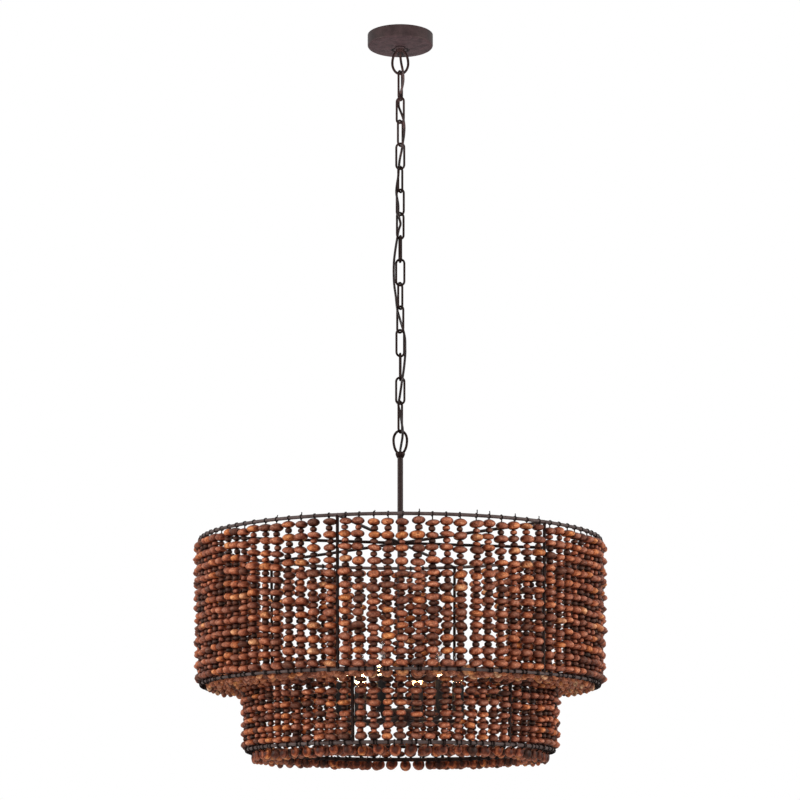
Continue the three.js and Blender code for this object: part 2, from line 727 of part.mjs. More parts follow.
// Lights
function makeLightBody() {
  const socketFloor = BODY_TOP - BODY_SOCKET_DEPTH;
  const body = revolve(
    [
      [0, BODY_BOTTOM - FINIAL_LENGTH],
      [FINIAL_RADIUS, BODY_BOTTOM - FINIAL_LENGTH / 2],
      [FINIAL_RADIUS / 2, BODY_BOTTOM],
      [BODY_RADIUS / 2, BODY_BOTTOM],
      [BODY_RADIUS, BODY_BOTTOM + BODY_HEIGHT / 4],
      [BODY_RADIUS, BODY_TOP - BODY_HEIGHT / 4],
      [BODY_RADIUS / 2, BODY_TOP],
      [STEM_RUN, BODY_TOP],
      [STEM_RUN, socketFloor],
      [0, socketFloor],
    ],
    ROUND_SIDES,
  );
  const armHeight = (BODY_TOP + BODY_BOTTOM) / 2;
  const bend = new THREE.CatmullRomCurve3([
    frontPoint(BODY_RADIUS / 2, armHeight),
    frontPoint(ARM_REACH / 2, armHeight - ARM_SAG),
    frontPoint(ARM_REACH - ARM_RADIUS, armHeight - ARM_SAG / 2),
    frontPoint(ARM_REACH, CUP_BOTTOM + CUP_THICKNESS / 2),
  ]);
  const arm = sweep(ovalSection(ARM_RADIUS, ARM_RADIUS, WIRE_SIDES), bend, WIRE_SIDES);
  const cupProfile = [
    [0, CUP_BOTTOM],
    [CUP_RADIUS / 2, CUP_BOTTOM],
    [CUP_RADIUS, CUP_BOTTOM + CUP_THICKNESS],
    [0, CUP_BOTTOM + CUP_THICKNESS],
  ];
  const cup = revolve(cupProfile, SMALL_SIDES).translate(0, -ARM_REACH, 0);
  return join([body, ...atBars(arm), ...atBars(cup)]);
}

// A candle sleeve with a socket, whose flats clear the corners of the bulb's cap as it is screwed in
function makeSleeve() {
  const bore = (BULB_CAP_RADIUS + SEAT_GAP) / Math.cos(Math.PI / SMALL_SIDES);
  const profile = [
    [0, SLEEVE_BOTTOM],
    [SLEEVE_RADIUS, SLEEVE_BOTTOM],
    [SLEEVE_RADIUS, SLEEVE_TOP],
    [bore, SLEEVE_TOP],
    [bore, SLEEVE_TOP - SOCKET_DEPTH],
    [0, SLEEVE_TOP - SOCKET_DEPTH],
  ];
  return revolve(profile, SMALL_SIDES);
}

// A candle bulb: a screw cap in the socket, and a torpedo-shaped glass on the sleeve's rim
function makeBulb() {
  const rim = SLEEVE_TOP + SEAT_GAP;
  const outline = BULB_OUTLINE_SHARES.map(([rise, width]) => [BULB_RADIUS * width, rim + BULB_LENGTH * rise]);
  const profile = [
    [0, SLEEVE_TOP - SOCKET_DEPTH + SEAT_GAP],
    [BULB_CAP_RADIUS, SLEEVE_TOP - SOCKET_DEPTH + SEAT_GAP],
    [BULB_CAP_RADIUS, rim],
    ...outline,
    [0, rim + BULB_LENGTH],
  ];
  return revolve(profile, SMALL_SIDES);
}

add("light_body", makeLightBody(), BRONZE);
barAzimuths.forEach((degrees, i) => {
  const arm = new THREE.Group();
  arm.rotation.z = THREE.MathUtils.degToRad(degrees);
  chandelier.add(arm);
  const sleeve = add(`candle_sleeve_${i + 1}`, makeSleeve(), CANDLE);
  const bulb = add(`bulb_${i + 1}`, makeBulb(), GLASS);
  for (const piece of [sleeve, bulb]) {
    piece.position.y = -ARM_REACH;
    arm.add(piece);
  }
});

// Supply cord
const cordPath = new THREE.CatmullRomCurve3(CORD_ROUTE.map((point) => new THREE.Vector3(...point)));
const cordSection = ovalSection(CORD_HALF_WIDTH, CORD_HALF_THICKNESS, 8);
add("supply_cord", sweep(cordSection, cordPath, CORD_STEPS), CORD_SLEEVE);

export default chandelier;
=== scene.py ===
import json
import math

import bpy
import numpy as np
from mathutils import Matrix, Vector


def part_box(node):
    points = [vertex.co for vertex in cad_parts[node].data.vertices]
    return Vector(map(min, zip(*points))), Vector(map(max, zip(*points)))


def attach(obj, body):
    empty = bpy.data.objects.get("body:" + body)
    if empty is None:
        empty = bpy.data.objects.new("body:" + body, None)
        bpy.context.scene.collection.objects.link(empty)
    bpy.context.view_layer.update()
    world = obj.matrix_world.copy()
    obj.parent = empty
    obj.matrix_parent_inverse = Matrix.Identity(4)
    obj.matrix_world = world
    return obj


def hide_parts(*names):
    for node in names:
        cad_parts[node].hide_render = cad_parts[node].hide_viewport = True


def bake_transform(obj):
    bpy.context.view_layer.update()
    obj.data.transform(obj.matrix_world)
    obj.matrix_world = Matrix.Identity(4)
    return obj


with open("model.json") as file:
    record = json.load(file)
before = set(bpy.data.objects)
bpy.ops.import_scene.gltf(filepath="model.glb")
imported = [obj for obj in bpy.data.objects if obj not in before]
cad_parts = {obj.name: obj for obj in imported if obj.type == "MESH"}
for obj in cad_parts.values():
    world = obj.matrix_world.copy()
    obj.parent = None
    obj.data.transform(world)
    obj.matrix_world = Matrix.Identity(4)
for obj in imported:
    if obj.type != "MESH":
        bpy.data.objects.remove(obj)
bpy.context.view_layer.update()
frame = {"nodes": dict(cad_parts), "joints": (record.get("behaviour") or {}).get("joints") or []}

# Sizes are real millimetres, turned to the scene's metres by MM. The origin is the middle of the
# canopy's rim in the plane of the ceiling. -Y is the front, and azimuths are degrees from the front
# towards the right.
MM = 0.001

# The photograph's view: a long lens well below the ceiling, looking slightly up
CAMERA_PLACE = (-0.5 * MM, -4714 * MM, -1649.6 * MM)
CAMERA_PITCH_DEGREES = 11.11
CAMERA_LENS = 114.3
SENSOR = 36
# The furthest that the camera sees, and the edge of the floor, in metres
VIEW_END = 100
FLOOR_SIZE = 30
FLOOR_LEVEL = -2400 * MM

# Soft boxes in front, at both sides and above: place, aim and edge in metres, and power in watts
SOFT_BOXES = [
    ("front", (-0.3, -4.5, -0.5), (0, 0, -1.0), 1.1, 102),
    ("left", (-4.0, -1.2, -0.4), (0, 0, -1.1), 0.8, 130),
    ("right", (4.0, -1.2, -0.4), (0, 0, -1.1), 0.8, 130),
    ("top", (0, -0.4, 2.4), (0, 0, -1.0), 1.6, 26),
]
# A narrow spot from below, just in front of the beads, for the canopy's underside
SPOT_PLACE = (0, -0.95, -1.9)
SPOT_AIM = (0, 0, -0.02)
SPOT_POWER = 1150
SPOT_DEGREES = 6
SPOT_BLEND = 0.4
SPOT_RADIUS = 0.03
# Strength of the light that comes from everywhere, where 1 is white
SOFT_STRENGTH = 0.04

# What seats in or round another piece clears it by this much
CLEARANCE = 0.3 * MM
# Turned edges are rounded by this much
ROUND_EDGE = 1.2 * MM
# A solid that is turned about its own axis ends there on a flat this small
AXIS_RADIUS = 0.1 * MM

# Sides of turned forms and of wires, more where they show larger
CANOPY_SIDES = 128
LAMP_BODY_SIDES = 56
PLATE_SIDES = 48
TUBE_SIDES = 40
SMALL_SIDES = 32
BULB_CAP_SIDES = 24
LOOP_WIRE_SIDES = 16
LINK_WIRE_SIDES = 14
CAGE_WIRE_SIDES = 10
THIN_WIRE_SIDES = 6
TIE_SIDES = 5

# Canopy, its collar and its loop
CANOPY_RADIUS = 63.5 * MM
CANOPY_HEIGHT = 25 * MM
CANOPY_WALL = 1.5 * MM
CANOPY_EDGE_RADIUS = 4 * MM
COLLAR_RADIUS = 10 * MM
COLLAR_HEIGHT = 4 * MM
HUB_RADIUS = 7.5 * MM
HUB_BORE_RADIUS = 5.3 * MM
HUB_RISE = 7 * MM
HUB_DROP = 10 * MM
LOOP_WIRE_RADIUS = 2.45 * MM
LOOP_HALF_WIDTH = 15.4 * MM
LOOP_ROOT_HALF_WIDTH = 5.4 * MM
LOOP_WIDEST_DROP = 33 * MM
LOOP_STEPS = 40
NIPPLE_RADIUS = 5 * MM
NIPPLE_BORE_RADIUS = 3.6 * MM
THREAD_PITCH = 1.4 * MM
THREAD_DEPTH = 0.35 * MM

# Chain
LINK_WIRE_RADIUS = 2.15 * MM
LINK_HALF_WIDTH = 7.8 * MM
LINK_BOW_STEPS = 13
SEAM_HALF_WIDTH = 0.5 * MM
SEAM_DEPTH_SHARE = 0.16

# Tube, its cap and its loop
TUBE_LOOP_WIRE_RADIUS = 2.4 * MM
TUBE_LOOP_HALF_WIDTH = 12.7 * MM
TUBE_LOOP_ROOT_HALF_WIDTH = 5.4 * MM
TUBE_LOOP_WIDEST_DROP = 18 * MM
TUBE_LOOP_LENGTH = 41 * MM
TUBE_LOOP_SINK = 1 * MM
CAP_RADIUS = 8.9 * MM
CAP_FOOT_RADIUS = 6.6 * MM
CAP_HEIGHT = 10.5 * MM
CAP_TOP_THICKNESS = 3 * MM
TUBE_RADIUS = 5.35 * MM
TUBE_BORE_RADIUS = 3.2 * MM
TUBE_BORE_DEPTH = 16 * MM
NUT_RADIUS = 10 * MM
NUT_CHAMFER_SHARE = 0.94
NUT_CHAMFER_HEIGHT = 0.8 * MM
HUB_PLATE_RADIUS = 14 * MM
HUB_PLATE_HALF_HEIGHT = 3.5 * MM
HUB_PLATE_EDGE = 1 * MM
SPOKE_SINK = 2 * MM

# Wire cage. A ring is its radius, its height and the radius of its wire. The rings at the feet of the
# drum and the basket lie a little inside their strings.
TOP_RING = (373 * MM, -996.6 * MM, 3.2 * MM)
DRUM_FOOT_RING = (367 * MM, -1263.1 * MM, 2.7 * MM)
BASKET_TOP_RING = (286 * MM, -1263.1 * MM, 2.7 * MM)
BASKET_FOOT_RING = (281.5 * MM, -1382.6 * MM, 3.2 * MM)
GRID_RING = (218 * MM, -1387.6 * MM, 2.9 * MM)
RING_STEPS = 240
BAR_WIRE_RADIUS = 2.9 * MM
WELD_LENGTH = 3 * MM
WELD_SWELL = 1.22

# The four courses of strings. Big and small are the radius and half height of the two kinds of bead, and
# count is how many big ones a string has. Dark is the share of its small ones that are stained dark.
# Paler, the shift of its stains against the drum's, is painted light above 0 and painted shade below 0.
# Ends is how strongly the painted shade at its beads' ends and sides shows. Ties are the rings that hold
# its start and its end, each with the turns of thin wire round it and the chance that the wire's end
# stands
# up. Places are in millimetres: an upright string has the heights of its first and last bead, and a flat
# one has its level and their radii. The two numbers after a height or level are how far a string may lie
# below and above it.
DRUM = {
    "big": (12.2 * MM, 7.0 * MM), "small": (6.6 * MM, 4.5 * MM), "count": 12,
    "dark": 0.6, "light_and_shade_shift": 0.0, "ends": 1.0,
    "ties": [(TOP_RING, 1.5, 0.12), (DRUM_FOOT_RING, 2.5, 0.3)],
    "heights": [(-1009.5, -3, 2), (-1252.9, -0.5, 1.5)],
}
BASKET = {
    "big": (10.9 * MM, 6.2 * MM), "small": (6.1 * MM, 4.1 * MM), "count": 6,
    "dark": 0.35, "light_and_shade_shift": -0.07, "ends": 1.0,
    "ties": [(BASKET_TOP_RING, 2.5, 0), (BASKET_FOOT_RING, 2.5, 0.25)],
    "heights": [(-1272.8, -1.5, 1), (-1372.8, -0.5, 1)],
}
SHELF = {
    "big": (10.4 * MM, 6.2 * MM), "small": (5.6 * MM, 4.1 * MM), "count": 4,
    "dark": 0.3, "light_and_shade_shift": 0.08, "ends": 0.6,
    "ties": [(DRUM_FOOT_RING, 2.5, 0), (BASKET_TOP_RING, 2.5, 0)],
    "level": (-1262.5, -1, 1), "radii": (354, 300),
}
BOTTOM = {
    "big": (9.8 * MM, 6.2 * MM), "small": (5.2 * MM, 4.0 * MM), "count": 3,
    "dark": 0.6, "light_and_shade_shift": -0.06, "ends": 0.95,
    "ties": [(BASKET_FOOT_RING, 1.5, 0), (GRID_RING, 2.5, 0.3)],
    "level": (-1396, 0, 2.4), "radii": (268, 229),
}
# The foot of an upright string stands this far outside the middle of its ring's wire
FOOT_STEP = 1 * MM
# An upright string is usually this far off its place along the ring
STRING_ASIDE = 0.9 * MM
# A string's slack opens towards its upper end
STRING_SLACK_SHARE = 0.03
DRUM_STRING_SHARES = [
    0.036, 0.1, 0.166, 0.23, 0.294, 0.364, 0.427, 0.49, 0.553, 0.627, 0.691, 0.756, 0.824, 0.891, 0.961,
]
BAY_END_SHARE = 0.046
BASKET_STRINGS_PER_BAY = 12
BOTTOM_STRINGS_PER_BAY = 10

# Beads. The flat at an end is a share of the radius. The higher a waist, the sharper the bead's middle.
BIG_BEAD_SIDES = 16
BIG_BEAD_ROWS = 9
SMALL_BEAD_SIDES = 10
SMALL_BEAD_ROWS = 7
BIG_END_SHARE = 0.26
SMALL_END_SHARE = 0.42
BIG_WAISTS = (0.95, 1.05, 1.15, 1.3)
SMALL_WAISTS = (0.6, 0.75, 0.9)
BEAD_SIZE_SPREAD = 0.08
BEAD_OVAL_SPREAD = 0.03
BEAD_TILT_DEGREES = 4.5
BEAD_WANDER = 0.8 * MM
# Ranges on the scale of the stains, which goes from 0 at the darkest to 1, and the share of each
BIG_TONES = [(0.12, 0.28), (0.28, 0.64), (0.64, 0.95)]
BIG_TONE_SHARES = [0.14, 0.64, 0.22]
SMALL_TONES = [(0.0, 0.16), (0.2, 0.6)]
# How dark the painted shade is drawn on the side that faces the next string, against that at the ends
BESIDE_SHADE_SHARE = 0.92

# Thin wire that ties each string to its ring, and the thicker wire that the beads are threaded on
TIE_RADIUS = 1 * MM
TIE_PITCH = 1.7 * MM
TIE_STEPS_PER_TURN = 8
# The tie's wire is drawn a little into the ring, so that no gap shows between them
TIE_SEAT_SHARE = 0.8
TAIL_LENGTH = 6 * MM
TAIL_LEAN_OUT = 0.2
TAIL_LEAN_ASIDE = 0.25
CORE_RADIUS = TIE_RADIUS * 1.2
# A direction that no string runs in
ASKEW = (0.6, 0.5, 0.62)

# Lights
LAMP_TOP = -1304.6 * MM
LAMP_HEIGHT = 32 * MM
LAMP_RADIUS = 24 * MM
LAMP_EDGE_RADIUS = 8 * MM
LAMP_BORE_DEPTH = 17 * MM
FINIAL_LENGTH = 16 * MM
FINIAL_RADIUS = 5 * MM
FINIAL_NECK_RADIUS = 2.5 * MM
FINIAL_NECK_FOOT = 3 * MM
FINIAL_NECK_TOP = 1 * MM
ARM_REACH = 110 * MM
ARM_RADIUS = 4 * MM
ARM_SAG = 8 * MM
ARM_STEPS = 6
ARM_IN_CUP = 2.5 * MM
CUP_RADIUS = 14 * MM
CUP_RISE = 2.5 * MM
CUP_HEIGHT = 5 * MM
CUP_FLARE_RADIUS = 6.6 * MM
SLEEVE_RADIUS = 11 * MM
SLEEVE_EDGE = 0.6 * MM
SOCKET_DEPTH = 22 * MM
SOCKET_CLEARANCE = 0.8 * MM
BULB_RADIUS = 15 * MM
BULB_CAP_RADIUS = 6 * MM
BULB_CAP_WALL = 1.5 * MM
# Shares of the bulb's radius, and their heights in millimetres above the sleeve
BULB_OUTLINE = [(0.86, 15), (1, 29), (0.62, 48)]
BULB_NECK_SHARE = 0.2
BULB_TIP_LENGTH = 5 * MM
BULB_TIP_RADIUS = 0.4 * MM
BULB_STEPS = 4
GLASS_WALL = 0.8 * MM
FILAMENT_RADIUS = 5 * MM
FILAMENT_LOW = 9 * MM
FILAMENT_HEIGHT = 13 * MM
FILAMENT_POINTS = 10
# The coil is finer. It is drawn as thick as its glare makes it look.
FILAMENT_WIRE_RADIUS = 2.3 * MM
LEAD_RADIUS = 0.35 * MM
LEAD_DROP = 2 * MM

# Supply cord: two cores side by side. Its route is in millimetres, from the canopy down into the tube.
CORD_HALF_WIDTH = 2.4 * MM
CORD_HALF_THICKNESS = 1.5 * MM
CORD_ROUTE = [
    (0, 0, -24), (0, 0, -40.3), (2, -3, -58.7), (5, -7, -76.1), (6, -3, -93.3), (3, -1, -109.5),
    (0, 2, -118.6), (-3, 9, -130.7), (-3, 7, -141.6), (1, -2, -156.6), (6, -9, -173.6), (8, -4, -187.5),
    (7, -2, -204.5), (5, -7.5, -219.5), (3, -6, -233.4), (-1, 2, -251.4), (-3, 7, -269.4),
    (-4, 3, -285.4), (-6.5, -0.5, -303.3), (-7.5, -3, -319.3), (-4, -4.5, -342.2), (-3.5, -9.5, -363.2),
    (-1.5, -9, -372.1), (0.5, -4, -381.2), (-3, 2, -391.1), (-6, 5, -408.1), (-9.5, 3, -431.1),
    (-12, -2, -455), (-12.5, -4, -478.9), (-11.5, -4, -500.9), (-8.5, -1, -522.9), (-6.5, -1.5, -542.8),
    (-5, -1, -551.8), (-1, 0, -565.8), (3, 4, -578.7), (6, 8.5, -587.7), (9, 9.8, -602.6),
    (9.5, 9.8, -618.6), (9.5, 9.5, -632.6), (8.5, 5, -646.6), (7, -1, -662.5), (5, -5.5, -677.6),
    (3.5, -6.5, -686.5), (1.5, -3, -700.5), (-1, 4, -716.4), (-3.5, 7.5, -731.4), (-1, 2, -744.5),
    (1, -0.5, -756.7), (3, -1, -769.8), (4.5, -7.5, -781.9), (4, -5, -796.6), (1.5, -1, -811.6),
    (0, 0, -820.6), (0, 0, -842.6),
]
CORD_STEPS = 5
# Each core is drawn from its outer side this far round either way, in radians, up to the groove
CORE_HALF_TURN = 2.1
CORE_STEPS = 9

rng = np.random.default_rng(7)
chain_joints = [j for j in frame["joints"] if j["name"].startswith("chain")]
bulb_joints = [j for j in frame["joints"] if j["name"].startswith("bulb")]
# The cage's bars stand at the azimuths of the bulbs
bar_azimuths = [math.degrees(math.atan2(j["pos_m"][0], -j["pos_m"][1])) for j in bulb_joints]


# Meshes

def around(azimuth, radius, height, aside=0.0):
    """The point at an azimuth in degrees and a radius from the tube, and aside of it to the right."""
    turn = math.radians(azimuth)
    out = np.array([math.sin(turn), -math.cos(turn), 0])
    right = np.array([math.cos(turn), math.sin(turn), 0])
    return out * radius + right * aside + np.array([0, 0, height])


def circle(sides):
    turns = np.arange(sides) * 2 * math.pi / sides
    return np.stack([np.cos(turns), np.sin(turns)], axis=1)


def skin(rings, loop=False):
    """The surface over a row of rings, with a flat cap at each end or closed onto its start."""
    rings = np.asarray(rings, float)
    count, sides = rings.shape[:2]
    rows = np.arange(count if loop else count - 1)[:, None] * sides
    here, beside = rows + np.arange(sides), rows + (np.arange(sides) + 1) % sides
    total = count * sides
    faces = np.stack([here, beside, (beside + sides) % total, (here + sides) % total], axis=2)
    faces = faces.reshape(-1, 4).tolist()
    if not loop:
        faces += [list(range(sides))[::-1], list(range(total - sides, total))]
    return rings.reshape(-1, 3), faces


def revolve(profile, sides, centre=(0, 0, 0), loop=False):
    """A profile of (radius, height) pairs turned about the vertical through centre."""
    section = circle(sides)
    rings = [np.column_stack([section * radius, np.full(sides, height)]) for radius, height in profile]
    return skin(np.array(rings) + np.array(centre), loop)


def unit_rows(vectors):
    return vectors / np.linalg.norm(vectors, axis=1)[:, None]


def carried(path, first, loop):
    """The two directions square to a path at each of its points, carried along it without a twist."""
    path = np.asarray(path, float)
    ahead = np.roll(path, -1, axis=0) - path
    behind = path - np.roll(path, 1, axis=0)
    if not loop:
        ahead[-1], behind[0] = behind[-1], ahead[0]
    ways = unit_rows(unit_rows(ahead) + unit_rows(behind))
    side = np.asarray(first, float)
    wide = []
    for way in ways:
        side = side - way * (side @ way)
        side /= np.linalg.norm(side)
        wide.append(side)
    wide = np.array(wide)
    return path, wide, np.cross(ways, wide)


def tube(path, radius, sides=None, first=(0, 0, 1), loop=False, section=None):
    """A wire along a path, of one radius or one for each point. It is round or has its own section."""
    path, wide, high = carried(path, first, loop)
    shape = circle(sides) if section is None else section
    scale = np.broadcast_to(np.asarray(radius, float), len(path))[:, None, None]
    rings = wide[:, None] * shape[None, :, :1] + high[:, None] * shape[None, :, 1:]
    return skin(path[:, None] + rings * scale, loop)


def ring_wire(radius, height, wire):
    turns = np.arange(RING_STEPS) * 360 / RING_STEPS
    return tube([around(turn, radius, height) for turn in turns], wire, CAGE_WIRE_SIDES, loop=True)


def welded_bar(start, end, wire, first):
    """A straight wire that swells a little into its weld at each end."""
    start, end = np.array(start, float), np.array(end, float)
    share = WELD_LENGTH / np.linalg.norm(end - start)
    stops = [0, share, 2 * share, 0.5, 1 - 2 * share, 1 - share, 1]
    swell = np.array([WELD_SWELL, WELD_SWELL, 1, 1, 1, WELD_SWELL, WELD_SWELL])
    return tube([start + (end - start) * stop for stop in stops], wire * swell, CAGE_WIRE_SIDES, first)


class Forms:
    """Small forms gathered into one mesh, with the values that each carries to its material."""

    def __init__(self, *forms):
        self.points, self.faces, self.values, self.count = [], [], {}, 0
        for form in forms:
            self.add(form)

    def add(self, form, **values):
        points, faces = form
        self.points.append(points)
        self.faces += [[corner + self.count for corner in face] for face in faces]
        self.count += len(points)
        for key, value in values.items():
            self.values.setdefault(key, []).append(value)


def piece(name, forms, look, body=None, nodes=(), sharp_degrees=40):
    """Makes an object of the forms, which rides on a body and stands for CAD nodes."""
    if not isinstance(forms, Forms):
        forms = Forms(*forms)
    mesh = bpy.data.meshes.new(name)
    mesh.from_pydata(np.concatenate(forms.points).tolist(), [], forms.faces)
    mesh.shade_smooth()
    mesh.set_sharp_from_angle(angle=math.radians(sharp_degrees))
    for key, chunks in forms.values.items():
        data = np.concatenate(chunks)
        kind, field = ("FLOAT", "value") if data.ndim == 1 else ("FLOAT_VECTOR", "vector")
        attribute = mesh.attributes.new(key, kind, "POINT")
        attribute.data.foreach_set(field, data.astype(np.float32).ravel())
    mesh.materials.append(look)
    made = bpy.data.objects.new(name, mesh)
    bpy.context.scene.collection.objects.link(made)
    if body:
        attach(made, body)
    if nodes:
        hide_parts(*nodes)
    return made


# Materials

def linear(hex_colour):
    """A colour written as sRGB, as the linear values that a shader takes."""
    shares = [int(hex_colour[i:i + 2], 16) / 255 for i in (1, 3, 5)]
    return (*[c / 12.92 if c <= 0.04045 else ((c + 0.055) / 1.055) ** 2.4 for c in shares], 1)


def add(tree, kind, inputs=None, stops=None, **settings):
    """Adds a node. Inputs are values, or outputs of other nodes to link. Stops are a colour ramp's."""
    node = tree.nodes.new(kind)
    for name, value in settings.items():
        setattr(node, name, value)
    for name, value in (inputs or {}).items():
        if isinstance(value, bpy.types.NodeSocket):
            tree.links.new(value, node.inputs[name])
        else:
            node.inputs[name].default_value = value
    for i, (place, colour) in enumerate(stops or []):
        element = node.color_ramp.elements[i] if i < 2 else node.color_ramp.elements.new(place)
        element.position = place
        element.color = linear(colour)
    return node


def scale_of(millimetres):
    """The scale of a noise whose pattern is this large."""
    return 1 / (millimetres * MM)


def new_look(name):
    look = bpy.data.materials.new(name)
    look.use_nodes = True
    look.node_tree.nodes.clear()
    return look, look.node_tree


def wear(tree, inputs):
    """The surface shader with its output."""
    shader = add(tree, "ShaderNodeBsdfPrincipled", inputs)
    add(tree, "ShaderNodeOutputMaterial", {"Surface": shader.outputs["BSDF"]})


# Stain colours of the beads, from the darkest to the palest
BEAD_STAINS = [
    (0.0, "#342420"), (0.16, "#7a5648"), (0.34, "#b07e6b"), (0.56, "#d29476"), (0.74, "#e29e70"),
    (0.88, "#ecaa6e"), (1.0, "#ffe2be"),
]


def turned_wood():
    """Hardwood turned, stained and waxed: satin over streaked grain, with dark pores, and painted shade
    at the ends and between the strings.
    """
    look, tree = new_look("turned_hardwood_stained_waxed")
    tone = add(tree, "ShaderNodeAttribute", attribute_name="bead_tone").outputs["Fac"]
    end = add(tree, "ShaderNodeAttribute", attribute_name="bead_end").outputs["Fac"]
    place = add(tree, "ShaderNodeAttribute", attribute_name="bead_place").outputs["Vector"]
    # Grain lines are about 0.5 mm apart. They are drawn 2.2 mm apart so that they show.
    drawn = add(tree, "ShaderNodeMapping", {"Vector": place, "Scale": (0.3, 1, 1)}).outputs["Vector"]
    streaks = add(tree, "ShaderNodeTexNoise", {
        "Vector": drawn, "Scale": scale_of(2.2), "Detail": 4, "Roughness": 0.62, "Distortion": 0.6,
    }).outputs["Fac"]
    # Patches of stain that took differently, about 8 mm across
    patches = add(tree, "ShaderNodeTexNoise", {
        "Vector": place, "Scale": scale_of(8), "Detail": 2}).outputs["Fac"]
    # Open pores are 0.3 mm wide and are drawn at 1 mm so that they show
    pores = add(tree, "ShaderNodeTexNoise", {
        "Vector": place, "Scale": scale_of(1), "Detail": 2}).outputs["Fac"]
    stain = add(tree, "ShaderNodeValToRGB", {"Fac": tone}, stops=BEAD_STAINS).outputs["Color"]
    grain = add(tree, "ShaderNodeValToRGB", {"Fac": streaks}, stops=[
        (0.3, "#8c6450"), (0.48, "#dccabf"), (0.68, "#ffffff")]).outputs["Color"]
    warm = add(tree, "ShaderNodeValToRGB", {"Fac": patches}, stops=[
        (0.4, "#c4b4b0"), (0.5, "#eedcd2"), (0.6, "#ffffff")]).outputs["Color"]
    pitted = add(tree, "ShaderNodeValToRGB", {"Fac": pores}, stops=[
        (0.3, "#805848"), (0.4, "#ffffff")]).outputs["Color"]
    # Painted shade: each bead is drawn darker towards the hole at each end and on the side that faces the
    # next string.
    ends = add(tree, "ShaderNodeValToRGB", {"Fac": end}, stops=[
        (0.3, "#ffffff"), (0.62, "#d8beb2"), (0.84, "#7e5444"), (1.0, "#3a2018")]).outputs["Color"]
    # A colour mix takes its factor in socket 0, its two colours in 6 and 7, and gives its own in 2
    colour = stain
    for layer in (grain, warm, pitted, ends):
        mixed = add(tree, "ShaderNodeMix", {0: 1.0, 6: colour, 7: layer},
                    data_type="RGBA", blend_type="MULTIPLY")
        colour = mixed.outputs[2]
    rough = add(tree, "ShaderNodeMapRange", {
        "Value": streaks, "To Min": 0.58, "To Max": 0.46}).outputs["Result"]
    height = add(tree, "ShaderNodeMath", {0: streaks, 1: pitted}, operation="MULTIPLY").outputs["Value"]
    bump = add(tree, "ShaderNodeBump", {"Height": height, "Strength": 0.35, "Distance": 0.4 * MM})
    wear(tree, {"Base Color": colour, "Roughness": rough, "Normal": bump.outputs["Normal"],
                "IOR": 1.5, "Specular IOR Level": 0.22, "Specular Tint": linear("#ffe0d0")})
    return look


def mottled(name, dark, pale, patch, roughness, metallic=0.0, shine=0.5, cast="#ffffff"):
    """A paint or plating: two close colours in patches so many millimetres wide, over a fine texture."""
    look, tree = new_look(name)
    place = add(tree, "ShaderNodeTexCoord").outputs["Object"]
    clouds = add(tree, "ShaderNodeTexNoise", {
        "Vector": place, "Scale": scale_of(patch), "Detail": 5, "Roughness": 0.6}).outputs["Fac"]
    # The texture is about 0.3 mm across and is drawn at 0.9 mm so that it shows
    specks = add(tree, "ShaderNodeTexNoise", {"Vector": place, "Scale": scale_of(0.9)}).outputs["Fac"]
    colour = add(tree, "ShaderNodeValToRGB", {"Fac": clouds}, stops=[
        (0.36, dark), (0.66, pale)]).outputs["Color"]
    rough = add(tree, "ShaderNodeMapRange", {
        "Value": clouds, "To Min": roughness - 0.08, "To Max": roughness + 0.08}).outputs["Result"]
    bump = add(tree, "ShaderNodeBump", {"Height": specks, "Strength": 0.3, "Distance": 0.05 * MM})
    wear(tree, {"Base Color": colour, "Roughness": rough, "Metallic": metallic,
                "Specular IOR Level": shine, "Specular Tint": linear(cast),
                "Normal": bump.outputs["Normal"]})
    return look


def clear_glass():
    """Soda-lime glass blown thin: clear, with the faintest waves and a warm cast."""
    look, tree = new_look("clear_soda_lime_glass")
    place = add(tree, "ShaderNodeTexCoord").outputs["Object"]
    # Waves from the blowing, about 12 mm apart
    waves = add(tree, "ShaderNodeTexNoise", {"Vector": place, "Scale": scale_of(12)}).outputs["Fac"]
    colour = add(tree, "ShaderNodeValToRGB", {"Fac": waves}, stops=[
        (0.3, "#fff9ef"), (0.7, "#fffdf8")]).outputs["Color"]
    bump = add(tree, "ShaderNodeBump", {"Height": waves, "Strength": 0.1, "Distance": 0.1 * MM})
    # Blown this thin, it hardly bends the view, so most of its surface is clear
    wear(tree, {"Base Color": colour, "Roughness": 0.02, "Transmission Weight": 1.0, "IOR": 1.5,
                "Alpha": 0.07, "Normal": bump.outputs["Normal"]})
    return look


def glowing_filament():
    """Coiled tungsten at about 2700 K: white-hot, and more amber in its cooler stretches."""
    look, tree = new_look("tungsten_filament_lit")
    place = add(tree, "ShaderNodeTexCoord").outputs["Object"]
    # Cooler stretches of the coil, about 3 mm long
    heat = add(tree, "ShaderNodeTexNoise", {"Vector": place, "Scale": scale_of(3)}).outputs["Fac"]
    glow = add(tree, "ShaderNodeValToRGB", {"Fac": heat}, stops=[
        (0.3, "#ffb468"), (0.7, "#ffd29a")]).outputs["Color"]
    wear(tree, {"Base Color": linear("#5a5654"), "Roughness": 0.4, "Metallic": 1.0,
                "Emission Color": glow, "Emission Strength": 60.0})
    return look


